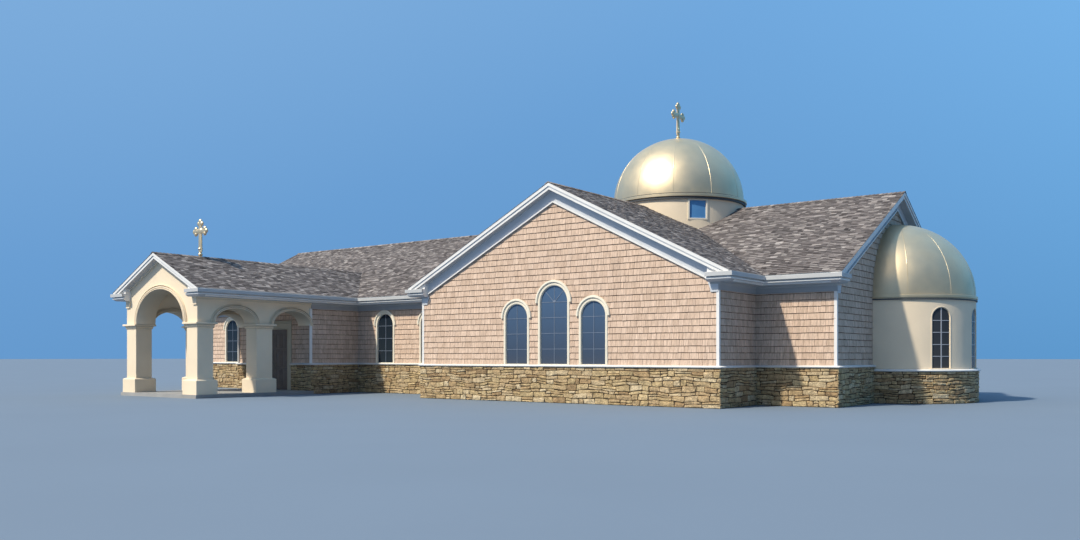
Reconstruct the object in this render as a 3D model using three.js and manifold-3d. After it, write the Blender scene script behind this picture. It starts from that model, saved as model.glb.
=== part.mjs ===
// A cross-plan church: a shingled nave and transept on a stone base, a dome over the crossing,
// a round apse with a half dome at the east end, and an arcaded entrance portico on the south side.
// Millimetres. X runs east along the nave, Y runs north, Z is up.
// The origin is on the ground under the middle of the dome.
import * as THREE from "three";
import { mergeVertices } from "three/addons/utils/BufferGeometryUtils.js";
import Module from "manifold-3d";

const wasm = await Module();
wasm.setup();

// Driving dimensions: plan
const HALF_WIDTH = 5860; // nave and transept, axis to outer wall face
const ARM = 8400; // crossing axis to the faces of the transept and east gables
const WEST_END = -22960; // face of the west gable
const WALL = 240;
const GAP = 0.3; // between pieces that touch

// Driving dimensions: stone base and floor
const BASE_TOP = 1180;
const BASE_PROUD = 60; // stone face in front of the wall face
const FLOOR = 130;

// Driving dimensions: roofs, all at the same pitch and eaves height
const PITCH = 0.5; // rise over run
const EAVES_TOP = 3928; // the gutter's lip, in the plane of the roof
const GUTTER_BOTTOM = 3720;
const SOFFIT = 3660;
const EAVES_REACH = 540; // wall face to gutter face
const ROOF_EDGE = 455; // wall face to the roof's edge over the gutter
const FASCIA_REACH = 430; // wall face to fascia face
const GABLE_REACH = 320; // gable wall face to rake face
const ROOF_DEPTH = 280; // measured plumb, from roof top to its underside
const RAKE_DEPTH = 220; // the same past a gable's face
const RAKE_CROWN = { depth: 110, proud: 30 }; // the upper of the two steps of a rake
const RETURN_LENGTH = 810; // boxed eaves return at a gable, from the gutter face
// Face of the gutter from its foot to its lip, a bead under a cove, as distance behind the lip and height
const GUTTER_FACE = [
  [24, GUTTER_BOTTOM],
  [14, 3732],
  [14, 3764],
  [24, 3778],
  [56, 3784],
  [60, 3792],
  [60, 3822],
  [52, 3832],
  [6, 3840],
  [0, 3848],
  [0, EAVES_TOP],
];
// Inside of its trough from the lip to the floor, measured the same way
const GUTTER_TROUGH = [
  [16, EAVES_TOP],
  [22, 3862],
];

// Driving dimensions: window openings
const SIDE_WINDOW = { width: 930, sill: 1256, top: 3270 };
const MIDDLE_WINDOW = { width: 1105, sill: 1256, top: 3829 };
const GABLE_WINDOW_SPACING = 1540;
const PORTICO_WINDOW_NEAR = 3990; // portico axis to the nearer nave window
const PORTICO_WINDOW_FAR = 6500;
const NORTH_EXTRA_WINDOW = 1330; // the two more windows of the north side
const GLASS = 12;

// Driving dimensions: drum, dome and crosses
const DRUM_RADIUS = 2555;
const DRUM_WALL = 200;
const DRUM_FOOT = 5940;
const RING_BOTTOM = 7360;
const RING_TOP = 7560;
const RING_RADIUS = 2668;
const DOME_RADIUS = 2550;
const DOME_SHELL = 80;
const DRUM_WINDOW_ANGLES = [45, 135, 225, 315];
const DRUM_WINDOW = { width: 690, sill: 6610, top: 7330 };
const DOME_CROSS = { height: 1500, span: 1040 };
const PORTICO_CROSS = { height: 1480, span: 880, y: -11860 };

// Driving dimensions: apse, centred on the face of the east gable
const APSE_RADIUS = 2520;
const APSE_BASE_TOP = 1040;
const APSE_RING_BOTTOM = 3320;
const APSE_RING_TOP = 3488;
const APSE_RING_RADIUS = 2575;
const APSE_WINDOW = { width: 650, sill: 1130, top: 3072 };
const APSE_WINDOW_ANGLE = 41;
const APSE_SHELL = 80;

// Driving dimensions: portico and vestibule
const PORTICO_X = -14450;
const PORTICO_HALF = 2350;
const PORTICO_FRONT = -13530;
const VESTIBULE_FRONT = -8387;
const PIER = 650;
const MIDDLE_PIER = [-10995, -10280];
const PIER_HEAD = 2750;
const CAPITAL = [2590, 2665]; // bottoms of the capital's two steps
const CAPITAL_PROUD = [55, 110];
const PLINTH_TOP = 680;
const PLINTH_PROUD = 110;
const FRONT_ARCH = { half: 1568, spring: 2778, rise: 1250 };
const FLANK_ARCH = { half: 900, spring: 2770, rise: 530 };
const FLANK_ARCH_CENTRES = [-11937, -9360];
const PORTICO_FLOOR_PROUD = 160;

// Driving dimensions: entrance doors
const DOOR_HALF = 886; // door axis to jamb
const DOOR_TOP = 2630;
const DOOR_CASING = 270;
const CASING_TOP = 2947;
const CASING_PROUD = 30;
const DOOR_SETBACK = 30; // wall face to the outer face of the leaves
const LEAF_THICKNESS = 50;
const LEAF_GAP = 6; // to the jamb and to the head
const LEAF_MEETING_GAP = 10; // between the two leaves
const LEAF_FLOOR_GAP = 12;
const HINGE_INSET = 8; // jamb to hinge axis
const HINGE_RADIUS = HINGE_INSET - GAP;
const HINGE_LENGTH = 110;
const HINGE_HEIGHTS = [350, 1380, 2400];

const ROUND = 44; // segments of a full circle
const SMALL_ROUND = 12; // segments of a small knob or lobe
const PIN_ROUND = 32; // segments of a hinge barrel
const ARC = 8; // segments of an arched head
const DOME_STEPS = 9; // from a dome's foot to its top

// Colours and finishes
const finish = (color, roughness, metalness = 0) =>
  new THREE.MeshStandardMaterial({ color, roughness, metalness });
const stone = finish(0xa89a80, 0.9);
const shingle = finish(0xc9a98c, 0.85);
const stucco = finish(0xe6ddc6, 0.8);
const slate = finish(0x6b5f57, 0.9);
const gold = finish(0xc9bb8e, 0.35, 0.8);
const glass = finish(0x2b3440, 0.1);
const brown = finish(0x3b2a22, 0.5);
const taupe = finish(0x8f8577, 0.6);
const concrete = finish(0x9a958c, 0.9);

// A geometry as a solid that can be joined and cut.
function solidOf(geometry) {
  const bare = geometry.clone();
  bare.deleteAttribute("normal");
  bare.deleteAttribute("uv");
  const merged = mergeVertices(bare, 1e-3);
  return new wasm.Manifold(
    new wasm.Mesh({
      numProp: 3,
      vertProperties: merged.attributes.position.array,
      triVerts: new Uint32Array(merged.index.array),
    }),
  );
}

const shapeOf = (outline) =>
  outline instanceof THREE.Shape
    ? outline
    : new THREE.Shape(outline.map(([a, b]) => new THREE.Vector2(a, b)));

const sorted = (a, b) => (a < b ? [a, b] : [b, a]);

// An outline in the plane of two axes, drawn out along the third from one place to another.
function prism(outline, from, to, basis, turn = 0) {
  const [low, high] = sorted(from, to);
  const geometry = new THREE.ExtrudeGeometry(shapeOf(outline), {
    depth: high - low,
    bevelEnabled: false,
    curveSegments: ARC,
  });
  geometry.translate(0, 0, basis.backward ? -high : low);
  geometry.applyMatrix4(basis.matrix);
  geometry.rotateZ(THREE.MathUtils.degToRad(turn));
  return solidOf(geometry);
}

const axisX = new THREE.Vector3(1, 0, 0);
const axisY = new THREE.Vector3(0, 1, 0);
const axisZ = new THREE.Vector3(0, 0, 1);
const alongX = { matrix: new THREE.Matrix4().makeBasis(axisY, axisZ, axisX) };
const alongY = {
  matrix: new THREE.Matrix4().makeBasis(axisX, axisZ, axisY.clone().negate()),
  backward: true,
};
const alongZ = { matrix: new THREE.Matrix4() };

const prismX = (outline, x0, x1, turn) => prism(outline, x0, x1, alongX, turn);
const prismY = (outline, y0, y1) => prism(outline, y0, y1, alongY);
const prismZ = (outline, z0, z1) => prism(outline, z0, z1, alongZ);

function box(x, y, z) {
  const [x0, x1] = sorted(...x);
  const [y0, y1] = sorted(...y);
  const [z0, z1] = sorted(...z);
  const geometry = new THREE.BoxGeometry(x1 - x0, y1 - y0, z1 - z0);
  return solidOf(geometry.translate((x0 + x1) / 2, (y0 + y1) / 2, (z0 + z1) / 2));
}

// A profile of radius and height turned about the vertical through x, y.
function turned(profile, x = 0, y = 0, segments = ROUND) {
  const points = profile.map(([radius, z]) => new THREE.Vector2(radius, z));
  const geometry = new THREE.LatheGeometry(points, segments);
  return solidOf(geometry.rotateX(Math.PI / 2).translate(x, y, 0));
}

const disc = (radius, z0, z1, x = 0, y = 0, segments = ROUND) =>
  turned([[0, z0], [radius, z0], [radius, z1], [0, z1]], x, y, segments);

// A ring with the given inner and outer radius.
const ring = (inner, outer, z0, z1, x = 0, y = 0) =>
  turned([[inner, z0], [outer, z0], [outer, z1], [inner, z1], [inner, z0]], x, y);

const join = (solids) => solids.reduce((whole, solid) => whole.add(solid));
const cut = (solid, holes) => holes.reduce((left, hole) => left.subtract(hole), solid);

const church = new THREE.Group();

function addPiece(name, solid, material) {
  const mesh = solid.getMesh();
  const geometry = new THREE.BufferGeometry();
  geometry.setAttribute("position", new THREE.BufferAttribute(mesh.vertProperties, 3));
  geometry.setIndex(new THREE.BufferAttribute(mesh.triVerts, 1));
  geometry.computeVertexNormals();
  const piece = new THREE.Mesh(geometry, material);
  piece.name = name;
  church.add(piece);
}

// Roof heights at a distance from the ridge of a wing with the given half width
const ridgeOf = (half) => EAVES_TOP + PITCH * (half + EAVES_REACH);
const topAt = (half, away) => ridgeOf(half) - PITCH * away;
const underAt = (half, away) => topAt(half, away) - ROOF_DEPTH;

// Outline of a pointed gable wall, from a bottom height up to the underside of the roof.
const gableOutline = (half, centre, bottom) => [
  [centre - half, bottom],
  [centre + half, bottom],
  [centre + half, underAt(half, half) - GAP],
  [centre, underAt(half, 0) - GAP],
  [centre - half, underAt(half, half) - GAP],
];

// Outline across a side wall whose top follows the roof, on one side of the wing's axis.
const sideOutline = (half, thickness, side, bottom, centre = 0) => [
  [centre + side * (half - thickness), bottom],
  [centre + side * half, bottom],
  [centre + side * half, underAt(half, half) - GAP],
  [centre + side * (half - thickness), underAt(half, half - thickness) - GAP],
];

// Outline of a window with a round head.
function arched(centre, { width, sill, top }) {
  const radius = width / 2;
  const shape = new THREE.Shape();
  shape.moveTo(centre - radius, sill);
  shape.lineTo(centre + radius, sill);
  shape.lineTo(centre + radius, top - radius);
  shape.absarc(centre, top - radius, radius, 0, Math.PI, false);
  shape.closePath();
  return shape;
}

// Outline of an arch with a half-ellipse head, open below the given bottom.
function ellipticArch(centre, { half, spring, rise }, bottom) {
  const shape = new THREE.Shape();
  shape.moveTo(centre - half, bottom);
  shape.lineTo(centre + half, bottom);
  shape.lineTo(centre + half, spring);
  shape.absellipse(centre, spring, half, rise, 0, Math.PI, false);
  shape.closePath();
  return shape;
}

// Half of a roof's cross-section with its boxed eaves and open gutter, side is 1 or -1.
function slopeOutline(half, side) {
  const edge = half + ROOF_EDGE;
  const tip = half + EAVES_REACH;
  const fascia = half + FASCIA_REACH;
  const wall = half + GAP;
  const behindLip = (profile) => profile.map(([back, z]) => [tip - back, z]).reverse();
  const trough = behindLip(GUTTER_TROUGH);
  return [
    [GAP / 2, topAt(half, GAP / 2)],
    [edge, topAt(half, edge)],
    [edge, trough[0][1]],
    ...trough,
    ...behindLip(GUTTER_FACE),
    [fascia, GUTTER_BOTTOM],
    [fascia, SOFFIT],
    [wall, SOFFIT],
    [wall, underAt(half, wall)],
    [GAP / 2, underAt(half, GAP / 2)],
  ].map(([away, z]) => [side * away, z]);
}

// A whole roof's cross-section, both slopes joined at the ridge.
function roofOutline(half, centre) {
  const right = slopeOutline(half, 1).slice(1, -1);
  const left = slopeOutline(half, -1).slice(1, -1).reverse();
  return [[0, ridgeOf(half)], ...right, [0, underAt(half, 0)], ...left].map(([away, z]) => [
    centre + away,
    z,
  ]);
}

// The edge of one slope past a gable: a rake in two steps, with a boxed return at its foot.
// The return's crown has the gutter's face and turns the corner into the gutter.
function gableEdge(wing, side, ridgeGap = 0) {
  const { half, centre, face, outward, drawOut, drawAcross } = wing;
  const edge = half + ROOF_EDGE;
  const tip = half + EAVES_REACH;
  const inner = tip - RETURN_LENGTH;
  const boxTop = topAt(half, inner) - ROOF_DEPTH / 2;
  const fasciaReach = GABLE_REACH - EAVES_REACH + FASCIA_REACH;
  const outOf = (reach) => face + outward * reach;
  const away = (outline) => outline.map(([distance, z]) => [centre + side * distance, z]);
  const crown = (corner) => GUTTER_FACE.map(([back, z]) => [corner - back, z]);
  const rake = (depth, reach) => {
    const slope = [
      [ridgeGap, topAt(half, ridgeGap)],
      [edge, topAt(half, edge)],
      [edge, topAt(half, edge) - depth],
      [ridgeGap, topAt(half, ridgeGap) - depth],
    ];
    return drawOut(away(slope), outOf(GAP), outOf(reach));
  };
  const flank = [[inner, SOFFIT], [half + FASCIA_REACH, SOFFIT], ...crown(tip), [inner, boxTop]];
  const front = [
    [GAP, SOFFIT],
    [fasciaReach, SOFFIT],
    ...crown(GABLE_REACH),
    [fasciaReach, EAVES_TOP],
    [fasciaReach, boxTop],
    [GAP, boxTop],
  ].map(([reach, z]) => [outOf(reach), z]);
  const box = drawOut(away(flank), outOf(GAP), outOf(GABLE_REACH)).intersect(
    drawAcross(front, centre + side * inner, centre + side * tip),
  );
  return join([
    rake(RAKE_DEPTH, GABLE_REACH - RAKE_CROWN.proud),
    rake(RAKE_CROWN.depth, GABLE_REACH),
    box,
  ]);
}

// The plan of one wing up to its two valleys, which start at a tip and spread at 45 degrees.
const REACH = 40000;
function valleyWedge(tipX, tipY, alongAxisX, alongAxisY) {
  const corner = (sign) => [
    tipX + REACH * (alongAxisX - sign * alongAxisY),
    tipY + REACH * (alongAxisY + sign * alongAxisX),
  ];
  return prismZ([[tipX, tipY], corner(1), corner(-1)], 0, REACH);
}

const PORTICO_VALLEY = (ridgeOf(HALF_WIDTH) - ridgeOf(PORTICO_HALF)) / PITCH;
const drumShaft = disc(DRUM_RADIUS + GAP, 0, RING_BOTTOM + DRUM_RADIUS);
const SIDES = [
  { name: "south", side: -1 },
  { name: "north", side: 1 },
];
const ENDS = [
  { name: "west", side: -1 },
  { name: "east", side: 1 },
];

// Stone base
const BASE_FACE = HALF_WIDTH + BASE_PROUD;
const INNER_FACE = HALF_WIDTH - WALL;
const baseHeight = [0, BASE_TOP - GAP];
const VESTIBULE_WEST = PORTICO_X - PORTICO_HALF;
const VESTIBULE_EAST = PORTICO_X + PORTICO_HALF;
const DOOR_WALL_END = DOOR_HALF + DOOR_CASING;
const westFace = WEST_END - BASE_PROUD;

addPiece(
  "nave_stone_base",
  join([
    box([westFace, VESTIBULE_WEST - BASE_PROUD - GAP], [-BASE_FACE, -INNER_FACE], baseHeight),
    box([westFace, WEST_END + WALL], [-BASE_FACE, BASE_FACE], baseHeight),
    box([westFace, -BASE_FACE - GAP], [INNER_FACE, BASE_FACE], baseHeight),
  ]),
  stone,
);
addPiece(
  "nave_stone_base_southeast",
  box(
    [VESTIBULE_EAST + BASE_PROUD + GAP, -BASE_FACE - GAP],
    [-BASE_FACE, -INNER_FACE],
    baseHeight,
  ),
  stone,
);
for (const { name, side } of SIDES) {
  const gableFace = side * (ARM + BASE_PROUD);
  addPiece(
    `transept_${name}_stone_base`,
    join([
      box([-BASE_FACE, -INNER_FACE], [side * INNER_FACE, gableFace], baseHeight),
      box([-BASE_FACE, BASE_FACE], [side * (ARM - WALL), gableFace], baseHeight),
      box([INNER_FACE, BASE_FACE], [side * INNER_FACE, gableFace], baseHeight),
    ]),
    stone,
  );
  addPiece(
    `east_arm_${name}_stone_base`,
    join([
      box([BASE_FACE + GAP, ARM + BASE_PROUD], [side * INNER_FACE, side * BASE_FACE], baseHeight),
      box(
        [ARM - WALL, ARM + BASE_PROUD],
        [side * (APSE_RADIUS + BASE_PROUD + GAP), side * BASE_FACE],
        baseHeight,
      ),
    ]),
    stone,
  );
}
for (const { name, side } of ENDS) {
  const face = PORTICO_X + side * (PORTICO_HALF + BASE_PROUD);
  const inner = PORTICO_X + side * (PORTICO_HALF - WALL);
  addPiece(
    `vestibule_${name}_stone_base`,
    join([
      box([inner, face], [VESTIBULE_FRONT, -INNER_FACE], baseHeight),
      box(
        [PORTICO_X + side * (DOOR_WALL_END + GAP), face],
        [VESTIBULE_FRONT, VESTIBULE_FRONT + WALL],
        baseHeight,
      ),
    ]),
    stone,
  );
}

// Floors
const floorHeight = [0, FLOOR];
const floorInside = (face) => face - Math.sign(face) * (WALL + GAP);
const acrossFloor = (centre, half) => [centre - floorInside(half), centre + floorInside(half)];
addPiece(
  "church_floor",
  join([
    box([floorInside(WEST_END), floorInside(ARM)], acrossFloor(0, HALF_WIDTH), floorHeight),
    box(acrossFloor(0, HALF_WIDTH), acrossFloor(0, ARM), floorHeight),
    box(acrossFloor(PORTICO_X, PORTICO_HALF), [floorInside(VESTIBULE_FRONT), 0], floorHeight),
    box([PORTICO_X - DOOR_WALL_END, PORTICO_X + DOOR_WALL_END], [VESTIBULE_FRONT, 0], floorHeight),
    box([0, ARM], acrossFloor(0, APSE_RADIUS), floorHeight),
    disc(floorInside(APSE_RADIUS), ...floorHeight, ARM),
  ]),
  concrete,
);
addPiece(
  "portico_floor",
  box(
    [VESTIBULE_WEST - PORTICO_FLOOR_PROUD, VESTIBULE_EAST + PORTICO_FLOOR_PROUD],
    [PORTICO_FRONT - PORTICO_FLOOR_PROUD, VESTIBULE_FRONT - GAP],
    floorHeight,
  ),
  concrete,
);

// Nave walls and their windows
const southWindows = [
  -PORTICO_WINDOW_FAR,
  -PORTICO_WINDOW_NEAR,
  PORTICO_WINDOW_NEAR,
  PORTICO_WINDOW_FAR,
];
const northWindows = [...southWindows, -NORTH_EXTRA_WINDOW, NORTH_EXTRA_WINDOW];

// A straight nave wall along X with its windows, and the sheet of glass behind them.
function naveWall(name, side, x0, x1, windows) {
  const through = [side * (HALF_WIDTH + WALL), side * (INNER_FACE - WALL)];
  const holes = windows.map((offset) => prismY(arched(PORTICO_X + offset, SIDE_WINDOW), ...through));
  const wall = prismX(sideOutline(HALF_WIDTH, WALL, side, BASE_TOP), x0, x1);
  addPiece(`${name}_wall`, cut(wall, holes), shingle);
  const margin = SIDE_WINDOW.width;
  addPiece(
    `${name}_window_glass`,
    box(
      [PORTICO_X + Math.min(...windows) - margin, PORTICO_X + Math.max(...windows) + margin],
      [side * (INNER_FACE - GAP), side * (INNER_FACE - GAP - GLASS)],
      [BASE_TOP, SIDE_WINDOW.top + WALL / 2],
    ),
    glass,
  );
}
naveWall("nave_southwest", -1, WEST_END + WALL + GAP, VESTIBULE_WEST - GAP, southWindows.slice(0, 2));
naveWall("nave_southeast", -1, VESTIBULE_EAST + GAP, -HALF_WIDTH - GAP, southWindows.slice(2));
naveWall("nave_north", 1, WEST_END + WALL + GAP, -HALF_WIDTH - GAP, northWindows);

// Gable end walls with three arched windows, at both transept ends and the west end
const gableWindows = [
  arched(-GABLE_WINDOW_SPACING, SIDE_WINDOW),
  arched(0, MIDDLE_WINDOW),
  arched(GABLE_WINDOW_SPACING, SIDE_WINDOW),
];
function gableEnd(name, extrude, face, inward) {
  const wall = extrude(gableOutline(HALF_WIDTH, 0, BASE_TOP), face, face + inward * WALL);
  const through = [face - inward * WALL, face + 2 * inward * WALL];
  const holes = gableWindows.map((outline) => extrude(outline, ...through));
  addPiece(`${name}_gable_wall`, cut(wall, holes), shingle);
  const reach = GABLE_WINDOW_SPACING + SIDE_WINDOW.width;
  const sheet = [
    [-reach, BASE_TOP],
    [reach, BASE_TOP],
    [reach, MIDDLE_WINDOW.top + WALL / 2],
    [-reach, MIDDLE_WINDOW.top + WALL / 2],
  ];
  const back = face + inward * (WALL + GAP);
  addPiece(`${name}_window_glass`, extrude(sheet, back, back + inward * GLASS), glass);
}
gableEnd("transept_south", prismY, -ARM, 1);
gableEnd("transept_north", prismY, ARM, -1);
gableEnd("west", prismX, WEST_END, 1);

// Plain side walls of the transept and of the east arm
for (const { name, side } of SIDES) {
  const ends = [side * INNER_FACE, side * (ARM - WALL - GAP)];
  addPiece(
    `transept_${name}_west_wall`,
    prismY(sideOutline(HALF_WIDTH, WALL, -1, BASE_TOP), ...ends),
    shingle,
  );
  const armWall = prismX(sideOutline(HALF_WIDTH, WALL, side, BASE_TOP), INNER_FACE, ARM - WALL - GAP);
  const transeptWall = prismY(sideOutline(HALF_WIDTH, WALL, 1, BASE_TOP), ...ends);
  const cornerPost = box([INNER_FACE, HALF_WIDTH], [side * INNER_FACE, side * HALF_WIDTH], [
    BASE_TOP,
    underAt(HALF_WIDTH, HALF_WIDTH) - GAP,
  ]);
  addPiece(`${name}east_corner_wall`, join([armWall, transeptWall, cornerPost]), shingle);
}

// East gable with the arch that opens into the apse
const apseArch = new THREE.Shape();
const apseInside = APSE_RADIUS - WALL;
apseArch.moveTo(-apseInside, 0);
apseArch.lineTo(apseInside, 0);
apseArch.lineTo(apseInside, APSE_RING_TOP);
apseArch.absarc(0, APSE_RING_TOP, apseInside, 0, Math.PI, false);
apseArch.closePath();
addPiece(
  "east_gable_wall",
  prismX(gableOutline(HALF_WIDTH, 0, BASE_TOP), ARM - WALL, ARM).subtract(
    prismX(apseArch, ARM - 2 * WALL, ARM + WALL),
  ),
  shingle,
);

// Apse: base, three wall segments, cornice ring and half dome
const eastOf = (x) =>
  box([x, ARM + 2 * APSE_RADIUS], [-2 * APSE_RADIUS, 2 * APSE_RADIUS], [0, REACH]);
const eastHalf = eastOf(ARM + GAP);
const apseCorner = (side) =>
  box([ARM - WALL, ARM], [side * apseInside, side * (APSE_RADIUS + BASE_PROUD)], baseHeight);
addPiece(
  "apse_stone_base",
  join([
    ring(apseInside, APSE_RADIUS + BASE_PROUD, 0, APSE_BASE_TOP - GAP, ARM).intersect(eastOf(ARM)),
    apseCorner(-1),
    apseCorner(1),
  ]),
  stone,
);
const apseShell = ring(apseInside, APSE_RADIUS, APSE_BASE_TOP, APSE_RING_BOTTOM - GAP, ARM).intersect(
  eastHalf,
);
const apseHole = (angle) =>
  prismX(arched(0, APSE_WINDOW), APSE_RADIUS / 2, 2 * APSE_RADIUS, angle).translate([ARM, 0, 0]);
const eastSegment = APSE_WINDOW_ANGLE / 2; // half angle of the segment round the middle window
const segmentGap = 0.01;
const apseSegments = [
  { name: "south", middle: -APSE_WINDOW_ANGLE, from: -91, to: -eastSegment - segmentGap },
  { name: "east", middle: 0, from: -eastSegment, to: eastSegment },
  { name: "north", middle: APSE_WINDOW_ANGLE, from: eastSegment + segmentGap, to: 91 },
];
for (const { name, middle, from, to } of apseSegments) {
  const ray = (degrees) => {
    const angle = THREE.MathUtils.degToRad(degrees);
    return [ARM + 2 * APSE_RADIUS * Math.cos(angle), 2 * APSE_RADIUS * Math.sin(angle)];
  };
  const sector = prismZ([[ARM, 0], ray(from), ray((from + to) / 2), ray(to)], 0, REACH);
  addPiece(`apse_${name}_wall`, apseShell.intersect(sector).subtract(apseHole(middle)), stucco);
}
addPiece(
  "apse_window_glass",
  ring(apseInside - GAP - GLASS, apseInside - GAP, APSE_BASE_TOP, APSE_RING_BOTTOM - GAP, ARM).intersect(
    eastHalf,
  ),
  glass,
);
addPiece(
  "apse_cornice",
  ring(apseInside, APSE_RING_RADIUS, APSE_RING_BOTTOM, APSE_RING_TOP - GAP, ARM).intersect(eastHalf),
  gold,
);

// A dome's shell: a half ball less a smaller one.
function shell(outer, thickness, bottom, x) {
  const halfBall = (radius) => {
    const profile = [[0, bottom]];
    for (let step = 0; step < DOME_STEPS; step++) {
      const angle = (Math.PI / 2) * (step / DOME_STEPS);
      profile.push([radius * Math.cos(angle), bottom + radius * Math.sin(angle)]);
    }
    return turned([...profile, [0, bottom + radius]], x);
  };
  return halfBall(outer).subtract(halfBall(outer - thickness));
}
addPiece(
  "apse_half_dome",
  shell(APSE_RADIUS, APSE_SHELL, APSE_RING_TOP, ARM).intersect(eastHalf),
  gold,
);

// Drum, cornice ring, dome and cross over the crossing
const drumInside = DRUM_RADIUS - DRUM_WALL;
const drumHoles = DRUM_WINDOW_ANGLES.map((angle) => {
  const { width, sill, top } = DRUM_WINDOW;
  const outline = [[-width / 2, sill], [width / 2, sill], [width / 2, top], [-width / 2, top]];
  return prismX(outline, DRUM_RADIUS / 2, 2 * DRUM_RADIUS, angle);
});
addPiece("drum_wall", cut(ring(drumInside, DRUM_RADIUS, DRUM_FOOT, RING_BOTTOM - GAP), drumHoles), stucco);
addPiece(
  "drum_window_glass",
  ring(drumInside - GAP - GLASS, drumInside - GAP, DRUM_WINDOW.sill - WALL / 2, RING_BOTTOM - GAP),
  glass,
);
addPiece("dome_cornice", ring(drumInside, RING_RADIUS, RING_BOTTOM, RING_TOP - GAP), gold);
addPiece("dome", shell(DOME_RADIUS, DOME_SHELL, RING_TOP, 0), gold);

// A cross with three-lobed ends, standing upright at x, y, z with its arms along X before it is turned.
const CROSS_BAR = 80;
const CROSS_DEPTH = 60;
const CROSS_LOBE = 58;
const CROSS_KNOB = 95;
function cross({ height, span }, x, y, z, turn) {
  const armHeight = height - span / 2;
  const place = (geometry) =>
    solidOf(geometry.rotateZ(THREE.MathUtils.degToRad(turn)).translate(x, y, z));
  const bar = (width, tall, middle) =>
    place(new THREE.BoxGeometry(width, CROSS_DEPTH, tall).translate(0, 0, middle));
  const lobe = (across, up) =>
    place(
      new THREE.CylinderGeometry(CROSS_LOBE, CROSS_LOBE, CROSS_DEPTH, SMALL_ROUND).translate(
        across,
        0,
        up,
      ),
    );
  const tip = span / 2 - CROSS_LOBE;
  const ends = [[-1, 0], [1, 0], [0, 1]].flatMap(([across, up]) => [
    lobe(across * tip, armHeight + up * tip),
    ...[-1, 1].map((side) =>
      lobe(
        across * (tip - CROSS_LOBE) + side * up * CROSS_LOBE,
        armHeight + up * (tip - CROSS_LOBE) + side * across * CROSS_LOBE,
      ),
    ),
  ]);
  const ball = new THREE.SphereGeometry(CROSS_KNOB, SMALL_ROUND, SMALL_ROUND / 2);
  const knob = place(ball.rotateX(Math.PI / 2).translate(0, 0, CROSS_KNOB));
  return join([
    bar(CROSS_BAR, height - CROSS_LOBE, (height - CROSS_LOBE) / 2),
    bar(span - CROSS_LOBE, CROSS_BAR, armHeight),
    knob,
    ...ends,
  ]);
}
const DOME_TOP = RING_TOP + DOME_RADIUS;
addPiece("dome_cross", cross(DOME_CROSS, 0, 0, DOME_TOP + GAP, 90), gold);

// Roofs, each wing cut off at its valleys and round the drum
const gabledAlongX = { drawOut: prismX, drawAcross: prismY };
const gabledAlongY = { drawOut: prismY, drawAcross: prismX };
const WEST_WING = { half: HALF_WIDTH, centre: 0, face: WEST_END, outward: -1, ...gabledAlongX };
const EAST_WING = { half: HALF_WIDTH, centre: 0, face: ARM, outward: 1, ...gabledAlongX };
const PORTICO_WING = {
  half: PORTICO_HALF,
  centre: PORTICO_X,
  face: PORTICO_FRONT,
  outward: -1,
  ...gabledAlongY,
};

// A roof from one place on its ridge to its gable, with both edges past the gable.
function gabledRoof(wing, from) {
  const { half, centre, face, outward, drawOut } = wing;
  return join([
    drawOut(roofOutline(half, centre), from, face + 2 * outward * GAP),
    gableEdge(wing, -1),
    gableEdge(wing, 1),
  ]);
}
for (const { name, side } of SIDES) {
  let slope = join([
    prismX(slopeOutline(HALF_WIDTH, side), WEST_END - 2 * GAP, 0),
    gableEdge(WEST_WING, side, GAP / 2),
  ])
    .intersect(valleyWedge(-GAP, 0, -1, 0))
    .subtract(drumShaft);
  if (name === "south")
    slope = slope.subtract(valleyWedge(PORTICO_X, -PORTICO_VALLEY + GAP, 0, -1));
  addPiece(`nave_roof_${name}_slope`, slope, slate);

  const transept = { ...WEST_WING, face: side * ARM, outward: side, ...gabledAlongY };
  addPiece(
    `transept_${name}_roof`,
    gabledRoof(transept, 0).intersect(valleyWedge(0, side * GAP, 0, side)).subtract(drumShaft),
    slate,
  );
}
addPiece(
  "east_arm_roof",
  gabledRoof(EAST_WING, 0).intersect(valleyWedge(GAP, 0, 1, 0)).subtract(drumShaft),
  slate,
);
addPiece(
  "portico_roof",
  gabledRoof(PORTICO_WING, -PORTICO_VALLEY).intersect(
    valleyWedge(PORTICO_X, -PORTICO_VALLEY - GAP, 0, -1),
  ),
  slate,
);
const porticoCover = prismY(
  [
    [PORTICO_X - PORTICO_HALF, topAt(PORTICO_HALF, PORTICO_HALF) + GAP],
    [PORTICO_X + PORTICO_HALF, topAt(PORTICO_HALF, PORTICO_HALF) + GAP],
    [PORTICO_X, ridgeOf(PORTICO_HALF) + GAP],
  ],
  PORTICO_FRONT,
  VESTIBULE_FRONT,
);
const saddle = box(
  [PORTICO_X - CROSS_KNOB, PORTICO_X + CROSS_KNOB],
  [PORTICO_CROSS.y - CROSS_KNOB, PORTICO_CROSS.y + CROSS_KNOB],
  [ridgeOf(PORTICO_HALF) - CROSS_KNOB / 2, ridgeOf(PORTICO_HALF) + CROSS_KNOB / 2],
).subtract(porticoCover);
addPiece(
  "portico_cross",
  cross(PORTICO_CROSS, PORTICO_X, PORTICO_CROSS.y, ridgeOf(PORTICO_HALF) + GAP, 0).add(saddle),
  gold,
);

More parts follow.
